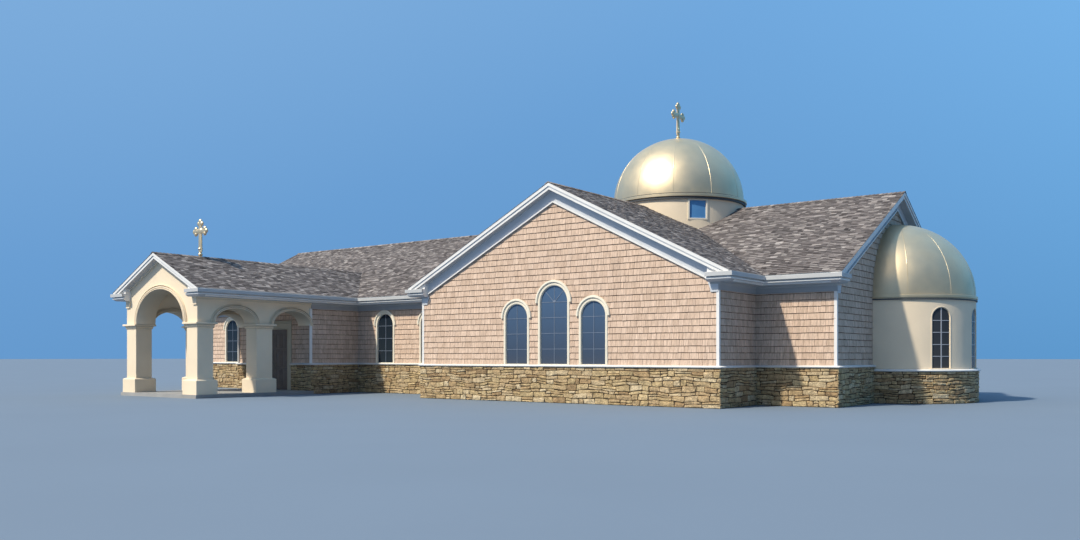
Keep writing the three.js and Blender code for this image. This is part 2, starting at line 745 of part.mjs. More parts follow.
// Portico piers, each with a plinth and a stepped capital
const PIER_ROWS = [
  { name: "front", y: [PORTICO_FRONT, PORTICO_FRONT + PIER] },
  { name: "middle", y: MIDDLE_PIER },
];
const grown = ([low, high], proud) => [low - proud, high + proud];
for (const { name: flank, side } of ENDS) {
  const x = sorted(PORTICO_X + side * (PORTICO_HALF - PIER), PORTICO_X + side * PORTICO_HALF);
  for (const { name, y } of PIER_ROWS) {
    const block = (proud, z0, z1) => box(grown(x, proud), grown(y, proud), [z0, z1]);
    addPiece(
      `portico_${name}_${flank}_pier`,
      join([
        block(PLINTH_PROUD, FLOOR + GAP, PLINTH_TOP),
        block(0, FLOOR + GAP, PIER_HEAD - GAP),
        block(CAPITAL_PROUD[0], CAPITAL[0], PIER_HEAD - GAP),
        block(CAPITAL_PROUD[1], CAPITAL[1], PIER_HEAD - GAP),
      ]),
      stucco,
    );
  }
  const arches = FLANK_ARCH_CENTRES.map((centre) =>
    prismX(ellipticArch(centre, FLANK_ARCH, PIER_HEAD - PIER), ...grown(x, WALL)),
  );
  addPiece(
    `portico_${flank}_arches`,
    cut(
      prismY(
        sideOutline(PORTICO_HALF, PIER, side, PIER_HEAD, PORTICO_X),
        PORTICO_FRONT + PIER + GAP,
        VESTIBULE_FRONT - GAP,
      ),
      arches,
    ),
    stucco,
  );
}
addPiece(
  "portico_front_arch",
  prismY(gableOutline(PORTICO_HALF, PORTICO_X, PIER_HEAD), PORTICO_FRONT, PORTICO_FRONT + PIER).subtract(
    prismY(
      ellipticArch(PORTICO_X, FRONT_ARCH, PIER_HEAD - PIER),
      PORTICO_FRONT - PIER,
      PORTICO_FRONT + 2 * PIER,
    ),
  ),
  stucco,
);

// Vestibule walls, beside and over the entrance doors
for (const { name, side } of ENDS) {
  const flankWall = prismY(
    sideOutline(PORTICO_HALF, WALL, side, BASE_TOP, PORTICO_X),
    VESTIBULE_FRONT,
    -INNER_FACE,
  );
  const besideDoor = box(
    [PORTICO_X + side * DOOR_WALL_END, PORTICO_X + side * PORTICO_HALF],
    [VESTIBULE_FRONT, VESTIBULE_FRONT + WALL],
    [BASE_TOP, CASING_TOP],
  );
  addPiece(`vestibule_${name}_wall`, flankWall.add(besideDoor), shingle);
}
const overDoor = PORTICO_HALF - WALL - GAP;
addPiece(
  "vestibule_wall_over_door",
  prismY(
    [
      [PORTICO_X - overDoor, CASING_TOP + GAP],
      [PORTICO_X + overDoor, CASING_TOP + GAP],
      [PORTICO_X + overDoor, underAt(PORTICO_HALF, overDoor) - GAP],
      [PORTICO_X, underAt(PORTICO_HALF, 0) - GAP],
      [PORTICO_X - overDoor, underAt(PORTICO_HALF, overDoor) - GAP],
    ],
    VESTIBULE_FRONT,
    VESTIBULE_FRONT + WALL,
  ),
  shingle,
);

// Entrance: casing and two leaves that open outwards
const casingEdge = DOOR_WALL_END - GAP;
addPiece(
  "door_frame",
  prismY(
    [
      [PORTICO_X - casingEdge, FLOOR + GAP],
      [PORTICO_X - DOOR_HALF, FLOOR + GAP],
      [PORTICO_X - DOOR_HALF, DOOR_TOP],
      [PORTICO_X + DOOR_HALF, DOOR_TOP],
      [PORTICO_X + DOOR_HALF, FLOOR + GAP],
      [PORTICO_X + casingEdge, FLOOR + GAP],
      [PORTICO_X + casingEdge, CASING_TOP],
      [PORTICO_X - casingEdge, CASING_TOP],
    ],
    VESTIBULE_FRONT - CASING_PROUD,
    VESTIBULE_FRONT + WALL,
  ),
  taupe,
);
for (const { name, side } of ENDS) {
  const face = VESTIBULE_FRONT + DOOR_SETBACK;
  const leaf = box(
    [PORTICO_X + (side * LEAF_MEETING_GAP) / 2, PORTICO_X + side * (DOOR_HALF - LEAF_GAP)],
    [face, face + LEAF_THICKNESS],
    [FLOOR + LEAF_FLOOR_GAP, DOOR_TOP - LEAF_GAP],
  );
  const hinges = HINGE_HEIGHTS.map((height) =>
    disc(
      HINGE_RADIUS,
      height - HINGE_LENGTH / 2,
      height + HINGE_LENGTH / 2,
      PORTICO_X + side * (DOOR_HALF - HINGE_INSET),
      face,
      PIN_ROUND,
    ),
  );
  addPiece(`${name}_door_leaf`, join([leaf, ...hinges]), brown);
}

export default church;
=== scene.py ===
"""The looks of a cross-plan church: shakes, ledge stone, roof shingles, trim, windows, domes and portico.

Metres, in the frame's axes: X east along the nave, Y north, Z up, the origin under the middle of the dome.
"""

import bpy
import numpy as np
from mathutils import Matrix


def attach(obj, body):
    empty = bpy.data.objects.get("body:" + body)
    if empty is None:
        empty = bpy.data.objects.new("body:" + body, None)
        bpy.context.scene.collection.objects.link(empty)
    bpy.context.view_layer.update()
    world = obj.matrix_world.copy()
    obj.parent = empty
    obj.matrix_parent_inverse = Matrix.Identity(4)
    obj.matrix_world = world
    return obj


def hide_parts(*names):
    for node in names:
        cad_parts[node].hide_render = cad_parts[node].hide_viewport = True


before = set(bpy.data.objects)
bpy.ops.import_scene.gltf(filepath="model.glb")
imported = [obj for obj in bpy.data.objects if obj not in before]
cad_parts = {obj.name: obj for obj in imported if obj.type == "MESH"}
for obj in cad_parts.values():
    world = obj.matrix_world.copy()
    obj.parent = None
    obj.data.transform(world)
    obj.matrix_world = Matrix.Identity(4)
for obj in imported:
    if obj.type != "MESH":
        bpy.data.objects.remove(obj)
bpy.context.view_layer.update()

# Sizes of the building, as the frame has them
HALF, ARM, WEST_END = 5.860, 8.400, -22.960  # axis to wall face, crossing to the other gables, west gable
BASE_PROUD, BASE_TOP, FLOOR = 0.060, 1.180, 0.130
EAVES_TOP, EAVES_REACH, ROOF_EDGE, GABLE_REACH = 3.928, 0.540, 0.455, 0.320
ROOF_DEPTH, RAKE_DEPTH, SOFFIT = 0.280, 0.220, 3.660
RETURN_INNER = 0.270  # wall face inwards to the end of a boxed return
PORTICO_X, PORTICO_HALF, PORTICO_FRONT, VESTIBULE = -14.450, 2.350, -13.530, -8.387
DOOR_WALL, DOOR_HALF, DOOR_TOP = 1.156, 0.886, 2.630  # door axis to the casing's outer edge and to the opening
CASING_TOP = 2.947
PIER, PIER_HEAD, MIDDLE_PIER = 0.650, 2.750, (-10.995, -10.280)
FRONT_ARCH = dict(half=1.568, spring=2.778, rise=1.250)
FLANK_ARCH = dict(half=0.900, spring=2.770, rise=0.530)
FLANK_ARCH_CENTRES = (-11.937, -9.360)
DRUM_RADIUS, DRUM_WALL, DRUM_FOOT = 2.555, 0.200, 5.940
RING_BOTTOM, RING_TOP, RING_RADIUS, DOME_RADIUS = 7.360, 7.560, 2.668, 2.550
APSE_RADIUS, APSE_WALL, APSE_BASE_TOP = 2.520, 0.240, 1.040
APSE_RING_BOTTOM, APSE_RING_TOP, APSE_RING_RADIUS = 3.320, 3.488, 2.575
SIDE_WINDOW = dict(width=0.930, sill=1.256, top=3.270, bars=(1.745, 2.260, 2.775))
MIDDLE_WINDOW = dict(width=1.105, sill=1.256, top=3.829, bars=(1.751, 2.262, 2.777, 3.279))
APSE_WINDOW = dict(width=0.650, sill=1.130, top=3.072, bars=(1.513, 1.888, 2.275, 2.653))
DRUM_WINDOW = dict(width=0.690, sill=6.610, top=7.330)
APSE_WINDOW_ANGLES, DRUM_WINDOW_ANGLES = (-41, 0, 41), (45, 135, 225, 315)

VESTIBULE_WEST, VESTIBULE_EAST = PORTICO_X - PORTICO_HALF, PORTICO_X + PORTICO_HALF
RIDGE = EAVES_TOP + (HALF + EAVES_REACH) / 2
PORTICO_RIDGE = EAVES_TOP + (PORTICO_HALF + EAVES_REACH) / 2
PORTICO_VALLEY = 2 * (RIDGE - PORTICO_RIDGE)  # ridge line of the nave to the tip of the portico's valleys
UP = np.array([0.0, 0.0, 1.0])


def placed(name, data):
    """A new object in the scene."""
    thing = bpy.data.objects.new(name, data)
    bpy.context.scene.collection.objects.link(thing)
    return thing


# The photograph's camera
PHOTO_WIDTH, PHOTO_HEIGHT = 1080, 540
FOCAL_PIXELS, HORIZON_ROW, SENSOR = 937.09, 356.725, 36.0
camera = placed("photo_camera", bpy.data.cameras.new("photo_camera"))
camera.data.sensor_width = SENSOR
camera.data.lens = FOCAL_PIXELS * SENSOR / PHOTO_WIDTH
camera.data.shift_y = (HORIZON_ROW - PHOTO_HEIGHT / 2) / PHOTO_WIDTH
camera.data.clip_end = 1000
camera.location = (17.910, -33.103, 1.500)
camera.rotation_euler = (np.pi / 2, 0, np.radians(36.798))
bpy.context.scene.camera = camera


# Materials

COOLER = (0.960, 1.000, 1.060)  # every colour a little cooler, to be seen by warm light


def wire(owner, kind, output, operation=None, **inputs):
    """An output of a new node. Its inputs are numbers, colours or other nodes' outputs, each under the input's
    name, or under an i and the input's number."""
    node = owner.node_tree.nodes.new(f"ShaderNode{kind}")
    if operation:
        node.operation = operation
    for name, value in inputs.items():
        socket = node.inputs[int(name[1:]) if name[1:].isdigit() else name]
        if isinstance(value, bpy.types.NodeSocket):
            owner.node_tree.links.new(value, socket)
        else:
            socket.default_value = value
    return node.outputs[output]


def finish(name, roughness, metallic=0.0, specular=0.5):
    """A node material with its constants set on the shader's own sockets."""
    material = bpy.data.materials.new(name)
    material.use_nodes = True
    sockets = material.node_tree.nodes["Principled BSDF"].inputs
    for socket, value in (("Roughness", roughness), ("Metallic", metallic), ("Specular IOR Level", specular)):
        sockets[socket].default_value = value
    return material


def noise(material, scale, detail, stretch=(1, 1, 1)):
    """Cloudy noise from 0 to 1 over the object's coordinates, at a number of blotches to the metre."""
    places = wire(material, "Mapping", "Vector", Vector=wire(material, "TexCoord", "Object"), Scale=stretch)
    return wire(material, "TexNoise", "Fac", Vector=places, Scale=scale, Detail=detail)


def ramp(material, fac, stops):
    """Colours spread evenly from 0 to 1 over a value."""
    colour = wire(material, "ValToRGB", "Color", Fac=fac)
    elements = colour.node.color_ramp.elements
    while len(elements) < len(stops):
        elements.new(0.5)
    for index, stop in enumerate(stops):
        elements[index].position = index / (len(stops) - 1)
        elements[index].color = (*stop, 1)
    return colour


def upward(material, vector, low, high):
    """How far the upward part of a vector has come from low to high."""
    height = wire(material, "SeparateXYZ", "Z", Vector=vector)
    return wire(material, "MapRange", "Result", Value=height, i1=low, i2=high)


def spread(material, fac, low, high):
    """The middle of a cloudy value, from 0.3 to 0.7, spread from low to high."""
    return wire(material, "MapRange", "Result", Value=fac, i1=0.3, i2=0.7, i3=low, i4=high)


def tint(material, colour, fac, low, high):
    """A colour multiplied by a grey that goes from low to high with a cloudy value."""
    return wire(material, "VectorMath", "Vector", "SCALE", i0=colour, Scale=spread(material, fac, low, high))


def dress(material, colour, height, depth, strength=1.0, roughness=None):
    """Links a colour, made cooler, a relief and at need a roughness to a material's shader."""
    sockets, links = material.node_tree.nodes["Principled BSDF"].inputs, material.node_tree.links
    links.new(wire(material, "VectorMath", "Vector", "MULTIPLY", i0=colour, i1=COOLER), sockets["Base Color"])
    links.new(wire(material, "Bump", "Normal", Height=height, Strength=strength, Distance=depth), sockets["Normal"])
    if roughness is not None:
        links.new(roughness, sockets["Roughness"])
    return material


def toned(name, roughness, stops, clouds, relief, depth, strength):
    """A finish whose shakes, stones or tabs each have a tone on a run of colours, clouded by noises that each
    have two greys. Relief is the noise that it is bumped by."""
    material = finish(name, roughness)
    tone = wire(material, "Attribute", "Fac")
    tone.node.attribute_name = "tone"
    colour = ramp(material, tone, stops)
    for cloud, low, high in clouds:
        colour = tint(material, colour, noise(material, *cloud), low, high)
    return dress(material, colour, noise(material, *relief), depth, strength)


def plain(name, colour, roughness, low=0.95, high=1.03, scale=2.0, grain=40.0, depth=0.0005, metallic=0.0,
          shade=None):
    """A painted or cast finish: one colour with soft clouding and a fine grain. Shade gives painted shade: a darker
    colour on faces that look down, where shade falls, and the two upward parts of the normal between which it sets
    in."""
    material = finish(name, roughness, metallic)
    if shade:
        under, *turn = shade
        # painted shade: the colour turns to the darker one on faces that look down
        colour = ramp(material, upward(material, wire(material, "NewGeometry", "Normal"), *turn), [under, colour])
    clouded = tint(material, colour, noise(material, scale, 5.0), low, high)
    return dress(material, clouded, noise(material, grain, 3.0), depth)


def glazed(name, low, high, foot, head, roughness, specular):
    """Dark glass whose colour runs from one at its foot to another at its head, painted with the reflection that it
    shows.
    """
    material = finish(name, roughness, specular=specular)
    share = upward(material, wire(material, "TexCoord", "Object"), foot, head)
    return dress(material, ramp(material, share, [low, high]), noise(material, 0.8, 3.0), 0.0006)


def gilded(name, colour, roughness, metallic):
    """Satin sheet metal, with a faint run of the brushing and cloudy gloss."""
    material = finish(name, roughness, metallic)
    clouded = tint(material, colour, noise(material, 1.4, 4.0), 0.93, 1.05)
    gloss = spread(material, noise(material, 3.0, 4.0), roughness - 0.04, roughness + 0.04)
    return dress(material, clouded, noise(material, 26.0, 3.0, (1, 1, 8)), 0.0008, 0.5, gloss)


WOOD_GRAIN, STREAKS, GRANULES = (14.0, 5.0, (6, 6, 0.5)), (22.0, 2.0, (1, 1, 0.08)), (170.0, 2.0)
SHAKE = toned(
    "wall_shake", 0.82,
    [(0.130, 0.074, 0.046), (0.560, 0.390, 0.275), (0.660, 0.470, 0.340), (0.730, 0.530, 0.392)],
    [(WOOD_GRAIN, 0.84, 1.10), (STREAKS, 0.78, 1.09)], WOOD_GRAIN, 0.004, 0.8)
STONE = toned(
    "ledge_stone", 0.9,
    [(0.060, 0.036, 0.019), (0.450, 0.292, 0.145), (0.560, 0.400, 0.200), (0.640, 0.470, 0.250),
     (0.530, 0.362, 0.186), (0.610, 0.445, 0.252), (0.720, 0.562, 0.342)],
    [((9.0, 6.0), 0.62, 1.16), ((28.0, 3.0), 0.66, 1.16)], (22.0, 6.0), 0.030, 1.0)
ROOF = toned(
    "roof_shingle", 0.93,
    [(0.024, 0.018, 0.016), (0.104, 0.083, 0.075), (0.188, 0.157, 0.142), (0.345, 0.295, 0.262),
     (0.500, 0.438, 0.388)],
    [(GRANULES, 0.80, 1.18), ((0.5, 3.0), 0.93, 1.06)], GRANULES, 0.002, 0.6)
GOLD = gilded("champagne_gold", (0.790, 0.628, 0.398), 0.42, 0.8)
# white trim with painted shade: its soffits and other faces that look down are painted a darker grey
TRIM = plain("white_trim", (0.820, 0.785, 0.730), 0.45, shade=((0.400, 0.405, 0.410), -0.8, -0.5))
CASING = plain("cream_casing", (0.840, 0.745, 0.580), 0.50)
# cream stucco with painted shade: arch soffits and other faces that look down are painted a darker cream
STUCCO = plain("cream_stucco", (0.880, 0.712, 0.503), 0.88, 0.94, 1.04, 0.9, 130.0, 0.003,
               shade=((0.430, 0.360, 0.265), -0.9, -0.05))
PLASTER = plain("inner_plaster", (0.700, 0.680, 0.630), 0.85, 0.96, 1.03, 1.2, 90.0, 0.001)
CONCRETE = plain("floor_concrete", (0.360, 0.345, 0.320), 0.86, 0.85, 1.08, 1.3, 90.0, 0.002)
# the glass colours are painted reflection: the gable glass lighter and bluer towards its head as mirrored sky, the
# eaves glass darker towards its head
GLASS = glazed("gable_glass", (0.048, 0.060, 0.085), (0.070, 0.120, 0.200), 1.3, 3.6, 0.06, 0.75)
EAVES_GLASS = glazed("eaves_glass", (0.022, 0.030, 0.038), (0.012, 0.020, 0.030), 1.3, 3.2, 0.08, 0.2)
APSE_GLASS = glazed("apse_glass", (0.056, 0.055, 0.056), (0.048, 0.052, 0.058), 1.2, 3.0, 0.10, 0.3)
# the drum glass is bright blue: a painted reflection of the sky
DRUM_GLASS_PAINTED_SKY = glazed("drum_glass_painted_sky", (0.090, 0.250, 0.500), (0.110, 0.290, 0.540), 6.6, 7.3, 0.12, 0.5)
# painted shade: a darker grey copy of the white trim for the rake friezes and brackets, which lie in the rakes'
# shadow
FRIEZE_SHADE_PAINT = plain("frieze_paint", (0.600, 0.610, 0.620), 0.5, 0.94)
# painted shade: a darker grey still for the friezes under the eaves, which lie in the eaves' shadow
EAVES_SHADE_PAINT = plain("eaves_frieze_paint", (0.400, 0.405, 0.405), 0.5, 0.94)
GUTTER_PAINT = plain("pale_grey_gutter_paint", (0.520, 0.510, 0.490), 0.5, 0.94)
# painted shadow: a near-black colour for the rings under the cornices, where their shade falls
SHADOW_GAP_PAINT = plain("painted_shadow_gap", (0.060, 0.062, 0.064), 0.6, 0.90, 1.10, 3.0)
BARS = plain("window_bars", (0.190, 0.225, 0.285), 0.42, 0.96, 1.03, 3.0, 60.0, 0.0003)
PALE_BARS = plain("pale_window_bars", (0.420, 0.420, 0.440), 0.45, 0.96, 1.03, 3.0, 60.0, 0.0003)
DOOR = plain("brown_door", (0.165, 0.124, 0.096), 0.45, 0.85, 1.10, 5.0, 70.0, 0.0012)
DOOR_CASING = plain("taupe_casing", (0.500, 0.440, 0.320), 0.50, 0.95, 1.04, 2.0, 60.0)
HARDWARE = plain("dark_hardware", (0.200, 0.170, 0.130), 0.35, 0.9, 1.08, 9.0, 90.0, 0.0003, 0.9)
PAVING = plain("pale_floor", (0.172, 0.218, 0.270), 0.92, 0.98, 1.02, 0.2, 8.0)


# Meshes out of arrays

def filled(faces, width):
    """Faces filled up with -1 to a number of corners."""
    return np.pad(faces, ((0, 0), (0, width - faces.shape[1])), constant_values=-1)


def cleaned(points, faces):
    """Faces of no area are dropped, and then the points that no face uses. Also tells which points stay."""
    corners = points[np.maximum(faces, 0)]
    fans = np.cross(corners[:, 1:-1] - corners[:, :1], corners[:, 2:] - corners[:, :1])
    fans[faces[:, 2:] < 0] = 0
    faces = faces[np.linalg.norm(fans.sum(axis=1), axis=1) > 1e-8]
    kept, where = np.unique(faces[faces >= 0], return_inverse=True)
    renumbered = np.full(faces.shape, -1)
    renumbered[faces >= 0] = where
    return points[kept], renumbered, kept


def piece(name, parts, material, body="church", smooth=None, replaces=()):
    """One object from parts of (points, faces) or (points, faces, tones), in its material's slot. A face is a row
    of corner numbers, filled up with -1. With smooth, edges flatter than that many degrees are shaded round.
    Replaces names the solids that it stands for."""
    starts = np.cumsum([0] + [len(part[0]) for part in parts])
    widest = max(part[1].shape[1] for part in parts)
    faces = [filled(np.where(part[1] < 0, -1, part[1] + start), widest) for part, start in zip(parts, starts)]
    points, faces, kept = cleaned(np.concatenate([part[0] for part in parts]), np.concatenate(faces))
    used = faces >= 0
    mesh = bpy.data.meshes.new(name)
    mesh.vertices.add(len(points))
    mesh.vertices.foreach_set("co", points.astype(np.float32).ravel())
    mesh.loops.add(int(used.sum()))
    mesh.loops.foreach_set("vertex_index", faces[used].astype(np.int32))
    mesh.polygons.add(len(faces))
    mesh.polygons.foreach_set("loop_start", np.append(0, np.cumsum(used.sum(axis=1))[:-1]).astype(np.int32))
    mesh.update(calc_edges=True)
    if len(parts[0]) > 2:
        tones = np.concatenate([part[2] for part in parts])[kept]
        mesh.attributes.new("tone", "FLOAT", "POINT").data.foreach_set("value", tones.astype(np.float32))
    if smooth is None:
        mesh.shade_flat()
    else:
        mesh.shade_smooth()
        mesh.set_sharp_from_angle(angle=np.radians(smooth))
    mesh.materials.append(material)
    thing = placed(name, mesh)
    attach(thing, body)
    if replaces:
        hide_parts(*replaces)


def sheet(grid, around=False, along=False, turned=False):
    """A grid of points, rows by columns by 3, as one part with four-cornered faces between neighbours. Its columns
    and rows may close on themselves. The faces look the way of step along a row crossed with step along a column,
    or with turned the other way."""
    rows, columns = grid.shape[:2]
    index = np.arange(rows * columns).reshape(rows, columns)
    if around:
        index = np.hstack([index, index[:, :1]])
    if along:
        index = np.vstack([index, index[:1]])
    faces = np.stack([index[:-1, :-1], index[:-1, 1:], index[1:, 1:], index[1:, :-1]], -1).reshape(-1, 4)
    return grid.reshape(-1, 3), faces[:, ::-1] if turned else faces


def tube(grid, ring=False, turned=False):
    """The skin of closed profiles, one row of the grid each, carried on from one to the next. A ring's last
    profile joins its first, and any other tube has its two ends closed."""
    points, faces = sheet(grid, around=True, along=ring, turned=turned)
    if ring:
        return points, faces
    rows, count = grid.shape[:2]
    ends = np.stack([np.arange(count)[::-1], (rows - 1) * count + np.arange(count)])
    width = max(4, count)
    return points, np.vstack([filled(faces, width), filled(ends[:, ::-1] if turned else ends, width)])


def carried(path, outs, profile, ring=False):
    """A closed profile of (out, up) pairs, anticlockwise, carried along a path: each of its points stands off
    each point of the path by out times that point's out vector, and up. Out is the path's direction crossed
    with up."""
    path, outs, profile = (np.asarray(each, float) for each in (path, outs, profile))
    return tube(path[:, None] + profile[None, :, :1] * outs[:, None] + profile[None, :, 1:] * UP, ring, turned=True)


def mitred(corners, ring=False):
    """Out vectors of a path in plan: the mean of its neighbours' right-hand normals, lengthened to a mitre."""
    steps = np.diff(np.vstack([corners, corners[:1]]) if ring else corners, axis=0)
    steps /= np.linalg.norm(steps, axis=1, keepdims=True)
    normals = np.stack([steps[:, 1], -steps[:, 0]], -1)
    if ring:
        before, after = np.roll(normals, 1, axis=0), normals
    else:
        before, after = np.vstack([normals[:1], normals]), np.vstack([normals, normals[-1:]])
    mitre = (before + after) / (1 + (before * after).sum(axis=1, keepdims=True))
    return np.column_stack([mitre, np.zeros(len(mitre))])


def run(corners, profile):
    """A moulding carried along a path in plan, its profile in distance out from the path and height."""
    corners = np.asarray(corners, float)
    return carried(np.column_stack([corners, np.zeros(len(corners))]), mitred(corners), profile)


def turned_about(x, y, profile, steps, first=0.0, last=360.0):
    """A closed profile of (radius, height), anticlockwise, turned about the upright line through x, y."""
    whole = last - first >= 360
    angles = np.radians(np.linspace(first, last, steps + 1))[: steps if whole else steps + 1]
    outs = np.column_stack([np.cos(angles), np.sin(angles), np.zeros(len(angles))])
    return carried(np.tile([x, y, 0.0], (len(angles), 1)), outs, profile, ring=whole)


class Flat:
    """A flat face of the building: u runs to the right and v up it as seen from outside, lift stands off it."""

    def __init__(self, x, y, along, climb=(0, 0, 1), z=0.0):
        self.origin, self.along, self.climb = np.array([x, y, z]), np.array([*along, 0.0]), np.array(climb, float)
        normal = np.cross(self.along, self.climb)
        self.normal = normal / np.linalg.norm(normal)

    def at(self, u, v, lift=0.0):
        """Points of the face: its origin, and u along it, v up it and lift off it."""
        u, v, lift = np.broadcast_arrays(*(np.asarray(each, float)[..., None] for each in (u, v, lift)))
        return self.origin + u * self.along + v * self.climb + lift * self.normal


class Round:
    """An upright round face about x on the long axis: u runs round it from an angle in degrees, v is height."""

    def __init__(self, x, radius, angle=0.0):
        self.centre, self.radius, self.angle = np.array([x, 0.0, 0.0]), radius, np.radians(angle)

    def at(self, u, v, lift=0.0):
        """Points of the face: radius and lift, times the cosine and sine of its angle and u over the radius."""
        u, v, lift = np.broadcast_arrays(*(np.asarray(each, float) for each in (u, v, lift)))
        turn, reach = self.angle + u / self.radius, self.radius + lift
        return self.centre + np.stack([reach * np.cos(turn), reach * np.sin(turn), v], -1)


def on_face(face, path, outs, profile, ring=False):
    """A closed profile of (out, lift) pairs carried along a path drawn on a face in (u, v)."""
    path, outs, profile = (np.asarray(each, float) for each in (path, outs, profile))
    u, v = (path[:, None, axis] + outs[:, None, axis] * profile[None, :, 0] for axis in (0, 1))
    return tube(face.at(u, v, profile[None, :, 1]), ring, turned=True)


def strip(face, start, end, profile):
    """A straight moulding drawn on a face from start to end in (u, v), its profile in distance to the right of
    that direction and lift. A round face gets a point every 4 cm."""
    start, end = np.asarray(start, float), np.asarray(end, float)
    length = np.linalg.norm(end - start)
    along = (end - start) / length
    steps = int(length / 0.04) + 1 if isinstance(face, Round) else 1
    path = start + np.linspace(0, 1, steps + 1)[:, None] * (end - start)
    return on_face(face, path, np.tile([along[1], -along[0]], (steps + 1, 1)), profile)


def oblong(u0, u1, v0, v1):
    """Corners of an oblong, anticlockwise from the lower left."""
    return [(u0, v0), (u1, v0), (u1, v1), (u0, v1)]


def board(face, outline, back, front):
    """A flat board on a face: an anticlockwise outline in (u, v) with a thickness from back to front."""
    outline = np.asarray(outline, float)
    return tube(np.stack([face.at(outline[:, 0], outline[:, 1], lift) for lift in (back, front)]))


def framed(face, u0, u1, v0, v1, profile):
    """A profile of (out, lift) pairs carried round an oblong on a face."""
    corners = oblong(u0, u1, v0, v1)
    return on_face(face, corners[1:] + corners[:1], [(1, -1), (1, 1), (-1, 1), (-1, -1)], profile, ring=True)


# Courses laid on a face

class Opening:
    """A window or door that courses stop at: half its width at a height, up to a round or a square head."""

    def __init__(self, centre, half, top, rounded=True):
        self.centre, self.half, self.top, self.rounded = centre, half, top, rounded

    def half_at(self, v):
        """Half the width at a height: in a round head the root of half squared less the rise squared."""
        if v >= self.top:
            return 0.0
        if not self.rounded or v <= self.top - self.half:
            return self.half
        return float(np.sqrt(self.half**2 - (v - self.top + self.half) ** 2))


class ApseOpening(Opening):
    """The apse and its half dome, where they meet the east gable."""

    def half_at(self, v):
        """Half the width at a height: in the half dome the root of half squared less the rise squared."""
        return float(np.sqrt(max(0.0, self.half**2 - max(0.0, v - APSE_RING_TOP) ** 2)))


class Valley(Opening):
    """Where the portico's roof runs into the nave's: its half width grows below the tip of the valleys."""

    def half_at(self, v):
        """Half the width at a distance up the slope: how far that is below the tip."""
        return max(0.0, self.top - v)


def laid(rng, levels, span, openings, widths):
    """Cells of rows laid in a running bond. Each row between two levels is cut at random widths, and every
    corner is held inside the span at its own level and outside the openings. A cell that spans the head of an
    opening is cut at its level. Returns the cells' u and v corners, anticlockwise from the lower left, and how
    far up its row each cell's two levels are."""
    us, vs, shares = [], [], []
    least = widths[0] / 3
    for low, high in zip(levels[:-1], levels[1:]):
        ends = np.array([span(low), span(high)])
        start, end = ends[:, 0].min(), ends[:, 1].max()
        if end - start < 1e-4:
            continue
        count = int((end - start) / widths[0]) + 2
        cuts = start - rng.uniform(0, widths[1]) + np.cumsum(rng.uniform(*widths, count))
        cuts = cuts[(cuts > start + least) & (cuts < end - least)]
        met = [each for each in openings if each.half_at(low) > 0]
        for each in met:
            cuts = cuts[np.abs(cuts - each.centre) > least]
        cuts = np.unique(np.concatenate([[start, end], cuts, [each.centre for each in met]]))
        left, right = cuts[:-1], cuts[1:]
        heads = [each for each in met if low < each.top < high]
        headed = np.zeros(len(left), bool)
        for each in heads:
            headed |= (right > each.centre - each.half_at(low)) & (left < each.centre + each.half_at(low))
        stages = np.unique([low, high, *(each.top for each in heads)])
        cells = [(low, high, ~headed), *((*pair, headed) for pair in zip(stages[:-1], stages[1:]))]
        for floor, ceiling, chosen in cells:
            corners = []
            for level in (floor, ceiling):
                a, b = np.clip(left, *span(level)), np.clip(right, *span(level))
                for each in met:
                    if floor < each.top:
                        before = (left + right) / 2 < each.centre
                        near, far = each.centre - each.half_at(level), each.centre + each.half_at(level)
                        a, b = (np.where(before, np.minimum(u, near), np.maximum(u, far)) for u in (a, b))
                corners.append((a, b))
            (a0, b0), (a1, b1) = corners
            kept = chosen & ((b0 - a0 > 1e-3) | (b1 - a1 > 1e-3))
            us.append(np.stack([a0, b0, b1, a1], -1)[kept])
            vs.append(np.tile([floor, floor, ceiling, ceiling], (kept.sum(), 1)))
            shares.append(np.tile([(floor - low) / (high - low), (ceiling - low) / (high - low)], (kept.sum(), 1)))
    return np.vstack(us), np.vstack(vs), np.vstack(shares)


